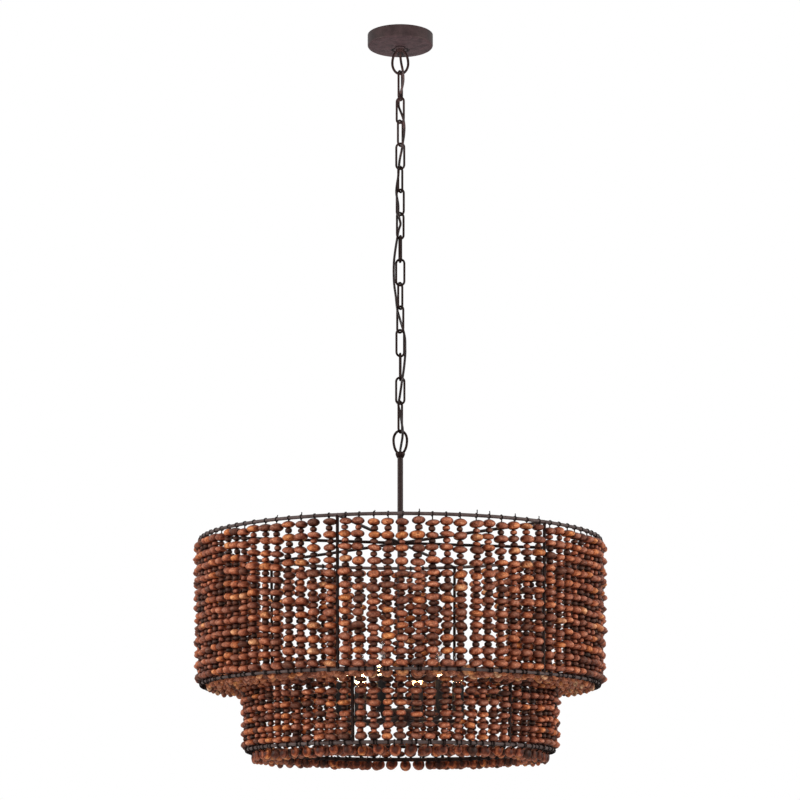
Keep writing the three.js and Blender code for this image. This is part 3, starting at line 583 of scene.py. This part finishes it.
def cord_vinyl():
    """Brown vinyl moulded over two cores: smooth, with a soft shine that is a little uneven."""
    look, tree = new_look("moulded_vinyl_brown")
    place = add(tree, "ShaderNodeTexCoord").outputs["Object"]
    # The vinyl's faint waves, 6 mm long, from the reel that it was wound on
    waves = add(tree, "ShaderNodeTexNoise", {
        "Vector": place, "Scale": scale_of(6), "Detail": 2}).outputs["Fac"]
    colour = add(tree, "ShaderNodeValToRGB", {"Fac": waves}, stops=[
        (0.35, "#140d0d"), (0.7, "#281a18")]).outputs["Color"]
    rough = add(tree, "ShaderNodeMapRange", {
        "Value": waves, "To Min": 0.28, "To Max": 0.42}).outputs["Result"]
    bump = add(tree, "ShaderNodeBump", {"Height": waves, "Strength": 0.2, "Distance": 0.1 * MM})
    wear(tree, {"Base Color": colour, "Roughness": rough, "Specular IOR Level": 0.2,
                "Normal": bump.outputs["Normal"]})
    return look


WOOD = turned_wood()
# Oil-rubbed bronze paint on steel: dark brown, satin, with a reddish cast where it catches the light
PAINT_CAST = "#f0d0c4"
BRONZE = mottled("bronze_paint_oil_rubbed", "#150f10", "#201718", patch=14, roughness=0.5,
                 shine=0.2, cast=PAINT_CAST)
# The same paint drawn paler on the rings that carry strings: a painted highlight, for the light along
# their tops
HIGHLIT_RING_BRONZE = mottled("bronze_paint_ring_painted_highlight", "#3c3230", "#544846", patch=14, roughness=0.5,
                        shine=0.2, cast=PAINT_CAST)
# The same paint on the other wires, drawn darker than on the canopy as painted shade, and smoother
WIRE_CAST = "#f0c4b4"
SHADED_WIRE_BRONZE = mottled("bronze_paint_on_wire_painted_shade", "#0d0707", "#1d1312", patch=6, roughness=0.42,
                      shine=0.1, cast=WIRE_CAST)
# Annealed steel wire, nearly black and dull from its oxide
TIE_WIRE = mottled("annealed_wire_black", "#0b0707", "#191110", patch=5, roughness=0.45,
                   shine=0.1, cast=WIRE_CAST)
# Steel plated with bright zinc: pale and cool, with blurred reflections
ZINC = mottled("zinc_plating_bright", "#a3a6a6", "#c4c6c4", patch=9, roughness=0.34, metallic=1.0)
# Drawn brass shell plated with nickel: a warmer silver, with clearer reflections
NICKEL = mottled("nickel_plating_drawn", "#b8b2a6", "#d2ccc0", patch=6, roughness=0.28, metallic=1.0)
# Card tube painted black: matt, with hardly any reflection
CANDLE = mottled("card_tube_painted_black", "#0e0a09", "#191312", patch=10, roughness=0.55, shine=0.2)
GLASS = clear_glass()
FILAMENT = glowing_filament()
VINYL = cord_vinyl()


# Camera, stage and light

def make_camera():
    scene = bpy.context.scene
    scene.view_settings.view_transform = "Standard"
    camera = bpy.data.objects.new("camera", bpy.data.cameras.new("camera"))
    camera.data.lens = CAMERA_LENS
    camera.data.sensor_width = SENSOR
    camera.data.clip_end = VIEW_END
    camera.location = CAMERA_PLACE
    camera.rotation_euler = (math.radians(90 + CAMERA_PITCH_DEGREES), 0, 0)
    scene.collection.objects.link(camera)
    scene.camera = camera


def make_floor():
    look, tree = new_look("floor_matt_paint")
    place = add(tree, "ShaderNodeTexCoord").outputs["Object"]
    # Matt paint: pale and even, but for the roller's faint shading, about 60 mm across
    clouds = add(tree, "ShaderNodeTexNoise", {"Vector": place, "Scale": scale_of(60)}).outputs["Fac"]
    colour = add(tree, "ShaderNodeValToRGB", {"Fac": clouds}, stops=[
        (0.3, "#ececea"), (0.7, "#f2f2f0")]).outputs["Color"]
    wear(tree, {"Base Color": colour, "Roughness": 0.8})
    half = FLOOR_SIZE / 2
    corners = [(-half, -half), (half, -half), (half, half), (-half, half)]
    mesh = bpy.data.meshes.new("floor")
    mesh.from_pydata([(x, y, FLOOR_LEVEL) for x, y in corners], [], [(0, 1, 2, 3)])
    mesh.materials.append(look)
    floor = bpy.data.objects.new("floor", mesh)
    bpy.context.scene.collection.objects.link(floor)


def make_world():
    """White where it is seen, also in gloss and through glass, and faint where it lights."""
    world = bpy.data.worlds.new("studio")
    bpy.context.scene.world = world
    world.use_nodes = True
    tree = world.node_tree
    tree.nodes.clear()
    rays = add(tree, "ShaderNodeLightPath").outputs
    seen = rays["Is Camera Ray"]
    for kind in ("Is Glossy Ray", "Is Transmission Ray"):
        seen = add(tree, "ShaderNodeMath", {0: seen, 1: rays[kind]}, operation="MAXIMUM").outputs["Value"]
    white = linear("#ffffff")
    soft = add(tree, "ShaderNodeBackground", {"Color": white, "Strength": SOFT_STRENGTH})
    bright = add(tree, "ShaderNodeBackground", {"Color": white, "Strength": 1.0})
    sky = add(tree, "ShaderNodeMixShader", {0: seen, 1: soft.outputs[0], 2: bright.outputs[0]})
    add(tree, "ShaderNodeOutputWorld", {"Surface": sky.outputs[0]})


def add_lamp(name, kind, place, aim, power):
    """A lamp at a place, turned to what it lights."""
    lamp = bpy.data.lights.new(name, kind)
    lamp.energy = power
    made = bpy.data.objects.new(name, lamp)
    made.location = place
    made.rotation_euler = (Vector(aim) - Vector(place)).to_track_quat("-Z", "Y").to_euler()
    bpy.context.scene.collection.objects.link(made)
    return made


def make_lamps():
    for name, place, aim, size, power in SOFT_BOXES:
        add_lamp(name, "AREA", place, aim, power).data.size = size
    spot = add_lamp("canopy_spot", "SPOT", SPOT_PLACE, SPOT_AIM, SPOT_POWER)
    spot.data.spot_size = math.radians(SPOT_DEGREES)
    spot.data.spot_blend = SPOT_BLEND
    spot.data.shadow_soft_size = SPOT_RADIUS
    # In gloss it would draw a bright line along the canopy's round edge, which the photograph lacks
    spot.visible_glossy = False


# Supply cord

def spline(route, steps):
    """A smooth curve through the route's points, even where they lie close together."""
    route = np.asarray(route, float)
    route = np.vstack([2 * route[0] - route[1], route, 2 * route[-1] - route[-2]])
    curve = []
    for p0, p1, p2, p3 in zip(route, route[1:], route[2:], route[3:]):
        d0, d1, d2 = (np.linalg.norm(b - a) ** 0.5 for a, b in ((p0, p1), (p1, p2), (p2, p3)))
        leave = ((p1 - p0) / d0 - (p2 - p0) / (d0 + d1) + (p2 - p1) / d1) * d1
        arrive = ((p2 - p1) / d1 - (p3 - p1) / (d1 + d2) + (p3 - p2) / d2) * d1
        for t in np.arange(steps) / steps:
            curve.append(p1 + t * leave + t**2 * (3 * (p2 - p1) - 2 * leave - arrive)
                         + t**3 * (2 * (p1 - p2) + leave + arrive))
    return np.array([*curve, route[-2]])


def twin_section():
    """The outline of two round cores side by side, with a groove between them."""
    core = CORD_HALF_THICKNESS
    shift = CORD_HALF_WIDTH - core
    turns = np.linspace(-CORE_HALF_TURN, CORE_HALF_TURN, CORE_STEPS)
    right = [(shift + core * math.cos(t), core * math.sin(t)) for t in turns]
    return np.array([*right, *[(-x, -y) for x, y in right]])


def make_cord():
    """One piece for each chain joint, cut where the cord passes the middle of a link."""
    line = spline(CORD_ROUTE, CORD_STEPS) * MM
    pivots = [j["pos_m"][2] for j in chain_joints]
    cuts = [(a + b) / 2 for a, b in zip(pivots, pivots[1:])]
    ends = [0, *[int(np.argmax(line[:, 2] < cut)) for cut in cuts], len(line) - 1]
    side = np.array([1.0, 0.0, 0.0])
    for i, (joint, start, end) in enumerate(zip(chain_joints, ends, ends[1:])):
        path = line[start:end + 1]
        made = piece(f"cord_{i + 1:02d}", [tube(path, 1.0, first=side, section=twin_section())], VINYL,
                     sharp_degrees=70)
        side = carried(path, side, False)[1][-1]
        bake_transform(made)
        if i == 0:
            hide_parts("supply_cord")


# Canopy

def arc(centre_radius, centre_height, radius, start, end, steps):
    """A profile's points on an arc, from one angle in degrees to another. 0 points outwards, 90 up."""
    turns = np.radians(np.linspace(start, end, steps))
    return [(centre_radius + radius * math.cos(t), centre_height + radius * math.sin(t)) for t in turns]


def egg(half_width, root_half_width, root, widest, far):
    """The path of a wire bent to an egg-shaped bow, open at its root and round at its far end."""
    root_turn = math.acos(root_half_width / half_width)
    points = []
    for turn in np.linspace(-root_turn, math.pi + root_turn, LOOP_STEPS):
        reach = math.sin(turn)
        rise = (far - widest) * reach if reach > 0 else -(root - widest) * reach / math.sin(root_turn)
        points.append((-half_width * math.cos(turn), 0, widest + rise))
    return points


def threaded(radius, bore, bottom, top, sides=SMALL_SIDES):
    """A tube with the ridges of a fine thread on its outside."""
    heights = np.arange(bottom, top, THREAD_PITCH / 2)
    ridges = [(radius - THREAD_DEPTH * (i % 2), height) for i, height in enumerate(heights)]
    return revolve([(bore, bottom), *ridges, (radius, top), (bore, top)], sides, loop=True)


def make_canopy():
    bottom = -CANOPY_HEIGHT
    centre = CANOPY_RADIUS - CANOPY_EDGE_RADIUS
    hole = HUB_RADIUS + CLEARANCE
    cover = revolve([
        (hole, bottom),
        *arc(centre, bottom + CANOPY_EDGE_RADIUS, CANOPY_EDGE_RADIUS, -90, 0, 8),
        (CANOPY_RADIUS, -CANOPY_WALL / 4),
        (CANOPY_RADIUS - CANOPY_WALL / 4, 0),
        (CANOPY_RADIUS - CANOPY_WALL, 0),
        *arc(centre, bottom + CANOPY_EDGE_RADIUS, CANOPY_EDGE_RADIUS - CANOPY_WALL, 0, -90, 6),
        (hole, bottom + CANOPY_WALL),
    ], CANOPY_SIDES, loop=True)
    piece("canopy_cover", [cover], BRONZE, "canopy", ["canopy_shell"])
    top = bottom - CLEARANCE
    foot = top - COLLAR_HEIGHT
    collar = revolve([
        (hole, foot),
        *arc(COLLAR_RADIUS - ROUND_EDGE, foot + ROUND_EDGE, ROUND_EDGE, -90, 0, 5),
        *arc(COLLAR_RADIUS - ROUND_EDGE, top - ROUND_EDGE, ROUND_EDGE, 0, 90, 5),
        (hole, top),
    ], PLATE_SIDES, loop=True)
    piece("collar", [collar], BRONZE, "canopy", ["canopy_collar"])
    hub_foot = bottom - HUB_DROP
    hub = revolve([
        (HUB_BORE_RADIUS, hub_foot),
        *arc(HUB_RADIUS - ROUND_EDGE, hub_foot + ROUND_EDGE, ROUND_EDGE, -90, 0, 4),
        (HUB_RADIUS, bottom + HUB_RISE),
        (HUB_BORE_RADIUS, bottom + HUB_RISE),
    ], TUBE_SIDES, loop=True)
    bow = egg(LOOP_HALF_WIDTH, LOOP_ROOT_HALF_WIDTH, hub_foot + LOOP_WIRE_RADIUS,
              bottom - LOOP_WIDEST_DROP, chain_joints[0]["pos_m"][2])
    loop = tube(bow, LOOP_WIRE_RADIUS, LOOP_WIRE_SIDES, (0, 1, 0))
    piece("hanging_loop", [hub, loop], SHADED_WIRE_BRONZE, "canopy", ["canopy_loop"])
    low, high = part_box("canopy_nipple")
    nipple = threaded(NIPPLE_RADIUS, NIPPLE_BORE_RADIUS, low.z, high.z)
    piece("threaded_nipple", [nipple], ZINC, "canopy", ["canopy_nipple"],
          sharp_degrees=25)
    # The crossbar's own solid stays in the scene and only takes its plating
    crossbar = frame["nodes"]["ceiling_crossbar"]
    crossbar.data.materials.clear()
    crossbar.data.materials.append(ZINC)


# Chain

def link_path(top, bottom, turn):
    """The closed path of a link's wire, with close points on one side where its ends meet."""
    middle, half = (top + bottom) / 2, (top - bottom) / 2 - LINK_HALF_WIDTH
    points, radii = [], []
    for side in (1, -1):
        for t in np.linspace(0, math.pi, LINK_BOW_STEPS):
            across, rise = LINK_HALF_WIDTH * math.cos(t), half + LINK_HALF_WIDTH * math.sin(t)
            points.append((side * across, side * rise))
            radii.append(1)
        if side > 0:
            for shift, share in ((2, 1), (1, 1), (0, 1 - SEAM_DEPTH_SHARE), (-1, 1), (-2, 1)):
                points.append((-LINK_HALF_WIDTH, shift * SEAM_HALF_WIDTH))
                radii.append(share)
    way = np.array([math.cos(turn), math.sin(turn), 0])
    path = [way * x + np.array([0, 0, middle + z]) for x, z in points]
    return path, LINK_WIRE_RADIUS * np.array(radii), np.cross(way, (0, 0, 1))


def make_chain():
    for i, (upper, lower) in enumerate(zip(chain_joints, chain_joints[1:])):
        node = f"chain_link_{i + 1:02d}"
        turn = math.atan2(lower["axis"][1], lower["axis"][0])
        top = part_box(node)[1].z - LINK_WIRE_RADIUS
        path, radii, first = link_path(top, lower["pos_m"][2], turn)
        link = tube(path, radii, LINK_WIRE_SIDES, first, loop=True)
        piece(f"link_{i + 1:02d}", [link], SHADED_WIRE_BRONZE, upper["child"], [node],
              sharp_degrees=75)


# Tube

def make_tube():
    loop_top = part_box("stem_loop")[1].z - TUBE_LOOP_WIRE_RADIUS
    cap_top = loop_top - TUBE_LOOP_LENGTH
    cap_under = cap_top - CAP_TOP_THICKNESS
    foot = cap_top - CAP_HEIGHT
    seat = TUBE_RADIUS + CLEARANCE
    cap = revolve([
        (seat, foot),
        (CAP_FOOT_RADIUS, foot),
        (CAP_RADIUS, foot + CAP_HEIGHT / 2),
        *arc(CAP_RADIUS - ROUND_EDGE, cap_top - ROUND_EDGE, ROUND_EDGE, 0, 90, 5),
        (TUBE_BORE_RADIUS, cap_top),
        (TUBE_BORE_RADIUS, cap_under),
        (seat, cap_under),
    ], TUBE_SIDES, loop=True)
    bow = egg(TUBE_LOOP_HALF_WIDTH, TUBE_LOOP_ROOT_HALF_WIDTH, cap_top - TUBE_LOOP_SINK,
              loop_top - TUBE_LOOP_WIDEST_DROP, loop_top)
    loop = tube(bow, TUBE_LOOP_WIRE_RADIUS, LOOP_WIRE_SIDES, (0, 1, 0))
    piece("tube_loop", [cap, loop], SHADED_WIRE_BRONZE, "fixture", ["stem_loop"])
    low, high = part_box("stem")
    bore_end = high.z - TUBE_BORE_DEPTH
    walls = revolve([
        (AXIS_RADIUS, low.z),
        (TUBE_RADIUS, low.z),
        (TUBE_RADIUS, high.z),
        (TUBE_BORE_RADIUS, high.z),
        (TUBE_BORE_RADIUS, bore_end),
        (AXIS_RADIUS, bore_end),
    ], TUBE_SIDES)
    piece("tube", [walls], BRONZE, "fixture", ["stem"])


# Cage

def bars(start, end, first=(0, 0, 1)):
    """The six bars between two rings, or between two places given as a radius and a height."""
    return [
        welded_bar(around(a, *start[:2]), around(a, *end[:2]), BAR_WIRE_RADIUS, first)
        for a in bar_azimuths
    ]


def make_cage():
    level = TOP_RING[1]
    foot, top = level - HUB_PLATE_HALF_HEIGHT, level + HUB_PLATE_HALF_HEIGHT
    flat = HUB_PLATE_RADIUS - HUB_PLATE_EDGE
    hole = TUBE_RADIUS + CLEARANCE
    hub = revolve([
        (hole, foot),
        (flat, foot),
        (HUB_PLATE_RADIUS, foot + HUB_PLATE_EDGE),
        (HUB_PLATE_RADIUS, top - HUB_PLATE_EDGE),
        (flat, top),
        (hole, top),
    ], PLATE_SIDES, loop=True)
    spokes = bars((HUB_PLATE_RADIUS - SPOKE_SINK, level), TOP_RING)
    piece("spokes", [hub, *spokes], SHADED_WIRE_BRONZE, "fixture", ["top_spider"])
    low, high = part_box("stem_nut")
    hexagon = circle(6) @ np.array([[0, 1], [-1, 0]]) * NUT_RADIUS
    face = hexagon * NUT_CHAMFER_SHARE
    bore = circle(6) * hole
    nut = skin([
        np.column_stack([points, np.full(6, height)]) for points, height in [
            (bore, low.z),
            (face, low.z),
            (hexagon, low.z + NUT_CHAMFER_HEIGHT),
            (hexagon, high.z - NUT_CHAMFER_HEIGHT),
            (face, high.z),
            (bore, high.z),
        ]
    ], loop=True)
    piece("tube_nut", [nut], BRONZE, "fixture", ["stem_nut"], sharp_degrees=20)
    for name, node, ring in [
        ("ring_top", "top_ring", TOP_RING),
        ("ring_drum_foot", "drum_cage", DRUM_FOOT_RING),
        ("ring_basket_foot", "basket_cage", BASKET_FOOT_RING),
    ]:
        # The rings take the paler paint, which is a painted highlight
        piece(name, [ring_wire(*ring)], HIGHLIT_RING_BRONZE, "fixture", [node])
    upright = (1, 0, 0)
    piece("cage_bars", [
        *bars(DRUM_FOOT_RING, TOP_RING, upright),
        ring_wire(*BASKET_TOP_RING),
        *bars(BASKET_TOP_RING, DRUM_FOOT_RING),
        *bars(BASKET_TOP_RING, BASKET_FOOT_RING, upright),
    ], SHADED_WIRE_BRONZE, "fixture")
    piece("bottom_frame", [
        ring_wire(*GRID_RING),
        *bars(GRID_RING, BASKET_FOOT_RING),
    ], SHADED_WIRE_BRONZE, "fixture", ["bottom_grid"])


# Beads

def unit_bead(sides, rows, end_share, waist):
    """A bead 1 wide and 1 high each way, flat at its ends. The higher waist, the sharper its middle."""
    section = circle(sides)
    limit = math.acos(end_share)
    rings = []
    for t in np.linspace(-limit, limit, rows):
        height = math.copysign(abs(math.sin(t) / math.sin(limit)) ** waist, t)
        rings.append(np.column_stack([section * math.cos(t), np.full(sides, height)]))
    return skin(rings)


BIG_SHAPES = [
    unit_bead(BIG_BEAD_SIDES, BIG_BEAD_ROWS, BIG_END_SHARE, waist) for waist in BIG_WAISTS]
SMALL_SHAPES = [
    unit_bead(SMALL_BEAD_SIDES, SMALL_BEAD_ROWS, SMALL_END_SHARE, waist) for waist in SMALL_WAISTS]


def spread(count, low=-2, high=2):
    """Random steps about 0, most of them within 1 and none beyond the limits."""
    return np.clip(rng.normal(size=count), low, high)


def turned_by(way, angle):
    """The turn that takes +Z to a direction, after a turn about +Z itself."""
    quaternion = Vector((0, 0, 1)).rotation_difference(Vector(way))
    cos, sin = math.cos(angle), math.sin(angle)
    return np.array(quaternion.to_matrix()) @ np.array([[cos, -sin, 0], [sin, cos, 0], [0, 0, 1]])


def add_bead(forms, centre, way, radius, half, big, course):
    """One bead, a little out of round, out of line and unlike its neighbours in its stain."""
    shapes = BIG_SHAPES if big else SMALL_SHAPES
    points, faces = shapes[rng.integers(len(shapes))]
    oval = 1 + BEAD_OVAL_SPREAD * rng.normal()
    shaped = points * np.array([radius * oval, radius / oval, half])
    leaning = Vector(way) + Vector(math.radians(BEAD_TILT_DEGREES) * spread(3))
    turn = turned_by(leaning.normalized(), rng.uniform(0, 2 * math.pi))
    grain_turn = turned_by(rng.normal(size=3), rng.uniform(0, 2 * math.pi))
    ranges = BIG_TONES if big else SMALL_TONES
    chances = BIG_TONE_SHARES if big else [course["dark"], 1 - course["dark"]]
    tone = rng.choice([rng.uniform(low, high) for low, high in ranges], p=chances)
    # Painted light and shade: the course's stains are drawn paler or darker than the drum's
    tone = np.clip(tone + course["light_and_shade_shift"], 0, 1)
    placed = shaped @ turn.T
    # Painted shade, drawn darker towards a bead's ends and towards its side that faces the next string
    across = np.array([-centre[1], centre[0], 0]) / math.hypot(centre[0], centre[1])
    beside = np.abs(placed @ across) / radius
    forms.add((placed + centre, faces), bead_tone=np.full(len(points), tone),
              bead_place=shaped @ grain_turn.T + rng.uniform(0, 1, 3),
              bead_end=np.maximum(np.abs(points[:, 2]), BESIDE_SHADE_SHARE * beside) * course["ends"])


def thread(forms, start, end, course):
    """Large and small beads in turn, unequal in size, that fill the string from end to end."""
    long = np.linalg.norm(end - start)
    way = (end - start) / long
    count = 2 * course["count"] - 1
    kinds = [course["small"] if i % 2 else course["big"] for i in range(count)]
    # A bead may fall further below its usual width than it may pass it
    radii = np.array([radius for radius, _ in kinds]) * (1 + BEAD_SIZE_SPREAD * spread(count, -1.7, 1.3))
    halves = np.array([half for _, half in kinds]) * (1 + BEAD_SIZE_SPREAD * spread(count))
    places = np.concatenate([[0], np.cumsum(halves[:-1] + halves[1:])])
    scale = long / places[-1]
    places = places * scale * (1 + STRING_SLACK_SHARE * (1 - places / places[-1]))
    for i in range(count):
        aside = BEAD_WANDER * spread(3)
        aside -= way * (way @ aside)
        centre = start + way * places[i] + aside
        add_bead(forms, centre, way, radii[i], halves[i] * scale, i % 2 == 0, course)


def tie(forms, azimuth, ring, turns, tail_chance):
    """Turns of thin wire round a ring from its underside, with an end that may stand up off it."""
    radius, height, wire = ring
    # At a ring without tails nothing is drawn by lot here
    tail = tail_chance and rng.random() < tail_chance
    aside = rng.uniform(-1, 1) * MM
    reach = wire + TIE_RADIUS * TIE_SEAT_SHARE
    path = []
    for t in np.linspace(0, turns * 2 * math.pi, round(turns * TIE_STEPS_PER_TURN) + 1):
        along = aside + TIE_PITCH * (t / (2 * math.pi) - turns / 2)
        path.append(around(azimuth, radius - reach * math.sin(t), height - reach * math.cos(t), along))
    if tail:
        lean = around(azimuth, rng.normal() * TAIL_LEAN_OUT, 1, rng.normal() * TAIL_LEAN_ASIDE)
        path.append(path[-1] + lean * TAIL_LENGTH * rng.uniform(0.2, 1))
    forms.add(tube(path, TIE_RADIUS, TIE_SIDES, first=around(azimuth, 0, 0, 1)))


def even_shares(count):
    """The places of a bay's strings, as shares of the way from one bar to the next."""
    return BAY_END_SHARE + (1 - 2 * BAY_END_SHARE) * np.arange(count) / (count - 1)


def both_bays(shares):
    """The same places in two bays that are made as one piece."""
    return np.concatenate([shares, np.asarray(shares) + 1]) / 2


def upright_ends(azimuth, course):
    """The middles of the first and last bead of a string that hangs from one ring to a lower one."""
    aside = rng.normal() * STRING_ASIDE
    heights = [z * MM + rng.uniform(low, high) * MM for z, low, high in course["heights"]]
    (upper, _, _), (lower, _, _) = course["ties"]
    start = around(azimuth, upper[0], heights[0], aside)
    return start, around(azimuth, lower[0] + FOOT_STEP, heights[1], aside)


def flat_ends(azimuth, course):
    """The middles of the first and last bead of a string that lies flat between two rings."""
    level, low, high = course["level"]
    first, last = course["radii"]
    height = level * MM + rng.uniform(low, high) * MM
    start = around(azimuth, first * MM + rng.uniform(-1, 1) * MM, height)
    return start, around(azimuth, last * MM, height)


def make_course(name, bays, shares, ends, course):
    """The strings of one course, as one piece of beads and one of wire for each bay."""
    span = 360 / bays
    (upper, _, _), (lower, _, _) = course["ties"]
    for bay in range(bays):
        beads, wires = Forms(), Forms()
        for share in shares:
            azimuth = bar_azimuths[0] + (bay + share) * span
            start, end = ends(azimuth, course)
            thread(beads, start, end, course)
            route = [around(azimuth, *upper[:2]), start, end, around(azimuth, *lower[:2])]
            wires.add(tube(route, CORE_RADIUS, THIN_WIRE_SIDES, first=ASKEW))
            for ring, turns, tail_chance in course["ties"]:
                tie(wires, azimuth, ring, turns, tail_chance)
        node = f"{name}_strands_{bay + 1}"
        piece(f"{name}_beads_{bay + 1}", beads, WOOD, "fixture", [node], sharp_degrees=60)
        piece(f"{name}_ties_{bay + 1}", wires, TIE_WIRE, "fixture", sharp_degrees=60)


def make_beads():
    bays = len(bar_azimuths)
    basket_shares = even_shares(BASKET_STRINGS_PER_BAY)
    bottom_shares = even_shares(BOTTOM_STRINGS_PER_BAY)
    make_course("drum", bays, DRUM_STRING_SHARES, upright_ends, DRUM)
    make_course("basket", bays, basket_shares, upright_ends, BASKET)
    make_course("shelf", bays // 2, both_bays(basket_shares), flat_ends, SHELF)
    make_course("bottom", bays // 2, both_bays(bottom_shares), flat_ends, BOTTOM)


# Lights

def make_lamp_body():
    """The turned body with its finial, and an arm and a cup for each candle."""
    foot = LAMP_TOP - LAMP_HEIGHT
    tip = foot - FINIAL_LENGTH
    shoulder = LAMP_RADIUS - LAMP_EDGE_RADIUS
    bore = TUBE_RADIUS + CLEARANCE
    bore_end = LAMP_TOP - LAMP_BORE_DEPTH
    forms = [revolve([
        (AXIS_RADIUS, tip),
        *arc(0, tip + FINIAL_RADIUS, FINIAL_RADIUS, -75, 50, 8),
        (FINIAL_NECK_RADIUS, foot - FINIAL_NECK_FOOT),
        (FINIAL_NECK_RADIUS, foot - FINIAL_NECK_TOP),
        (LAMP_RADIUS / 2, foot),
        *arc(shoulder, foot + LAMP_EDGE_RADIUS, LAMP_EDGE_RADIUS, -70, 0, 6),
        *arc(shoulder, LAMP_TOP - LAMP_EDGE_RADIUS, LAMP_EDGE_RADIUS, 0, 70, 6),
        (LAMP_RADIUS / 2, LAMP_TOP),
        (bore, LAMP_TOP),
        (bore, bore_end),
        (AXIS_RADIUS, bore_end),
    ], LAMP_BODY_SIDES)]
    level = LAMP_TOP - LAMP_HEIGHT / 2
    cup_foot = level + CUP_RISE
    rim = cup_foot + CUP_HEIGHT
    cup = [
        (AXIS_RADIUS, cup_foot),
        (CUP_RADIUS / 2, cup_foot),
        *arc(CUP_RADIUS / 2, rim, CUP_FLARE_RADIUS, -60, -12, 4),
        (CUP_RADIUS, rim),
        (AXIS_RADIUS, rim),
    ]
    for azimuth in bar_azimuths:
        bend = spline([
            around(azimuth, LAMP_RADIUS / 2, level),
            around(azimuth, ARM_REACH / 2, level - ARM_SAG),
            around(azimuth, ARM_REACH - ARM_RADIUS, level - ARM_SAG / 2),
            around(azimuth, ARM_REACH, cup_foot + ARM_IN_CUP),
        ], ARM_STEPS)
        forms.append(tube(bend, ARM_RADIUS, LINK_WIRE_SIDES, around(azimuth, 0, 0, 1)))
        forms.append(revolve(cup, SMALL_SIDES, around(azimuth, ARM_REACH, 0)))
    piece("lamp_body", forms, BRONZE, "fixture", ["light_body"])


def make_candles():
    """The sleeves, each with its bulb: the glass, the lit filament and the threaded cap."""
    for i, (joint, azimuth) in enumerate(zip(bulb_joints, bar_azimuths)):
        centre = around(azimuth, ARM_REACH, 0)
        low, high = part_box(f"candle_sleeve_{i + 1}")
        bore = BULB_CAP_RADIUS + SOCKET_CLEARANCE
        sleeve = revolve([
            (AXIS_RADIUS, low.z),
            (SLEEVE_RADIUS, low.z),
            (SLEEVE_RADIUS, high.z - SLEEVE_EDGE),
            (SLEEVE_RADIUS - SLEEVE_EDGE, high.z),
            (bore, high.z),
            (bore, high.z - SOCKET_DEPTH),
            (AXIS_RADIUS, high.z - SOCKET_DEPTH),
        ], SMALL_SIDES, centre)
        piece(f"candle_{i + 1}", [sleeve], CANDLE, "fixture", [f"candle_sleeve_{i + 1}"])
        low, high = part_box(f"bulb_{i + 1}")
        rim = low.z + SOCKET_DEPTH
        outline = spline([
            (BULB_CAP_RADIUS, rim, 0),
            *[(BULB_RADIUS * share, rim + rise * MM, 0) for share, rise in BULB_OUTLINE],
            (BULB_RADIUS * BULB_NECK_SHARE, high.z - BULB_TIP_LENGTH, 0),
            (BULB_TIP_RADIUS, high.z, 0),
        ], BULB_STEPS)[:, :2]
        inside = outline[::-1] * np.array([(BULB_RADIUS - GLASS_WALL) / BULB_RADIUS, 1])
        inside[0, 1] -= GLASS_WALL
        glass = revolve([*outline, *inside], SMALL_SIDES, centre, loop=True)
        piece(f"bulb_glass_{i + 1}", [glass], GLASS, joint["child"], [f"bulb_{i + 1}"],
              sharp_degrees=60)
        strokes = []
        for j in range(FILAMENT_POINTS):
            height = rim + FILAMENT_LOW + FILAMENT_HEIGHT * (j % 2)
            strokes.append(around((j + 0.5) * 360 / FILAMENT_POINTS, FILAMENT_RADIUS, height) + centre)
        filament = tube(strokes, FILAMENT_WIRE_RADIUS, THIN_WIRE_SIDES)
        piece(f"filament_{i + 1}", [filament], FILAMENT, joint["child"])
        leads = []
        for end in (strokes[0], strokes[-1]):
            foot = end * [1, 1, 0] + [0, 0, rim - LEAD_DROP]
            leads.append(tube([foot, end], LEAD_RADIUS, THIN_WIRE_SIDES, (1, 0, 0)))
        points, faces = threaded(BULB_CAP_RADIUS, BULB_CAP_RADIUS - BULB_CAP_WALL, low.z, rim,
                                 BULB_CAP_SIDES)
        piece(f"bulb_cap_{i + 1}", [(points + centre, faces), *leads], NICKEL, joint["child"],
              sharp_degrees=25)


make_camera()
make_floor()
make_world()
make_lamps()
make_cord()
make_canopy()
make_chain()
make_tube()
make_cage()
make_beads()
make_lamp_body()
make_candles()
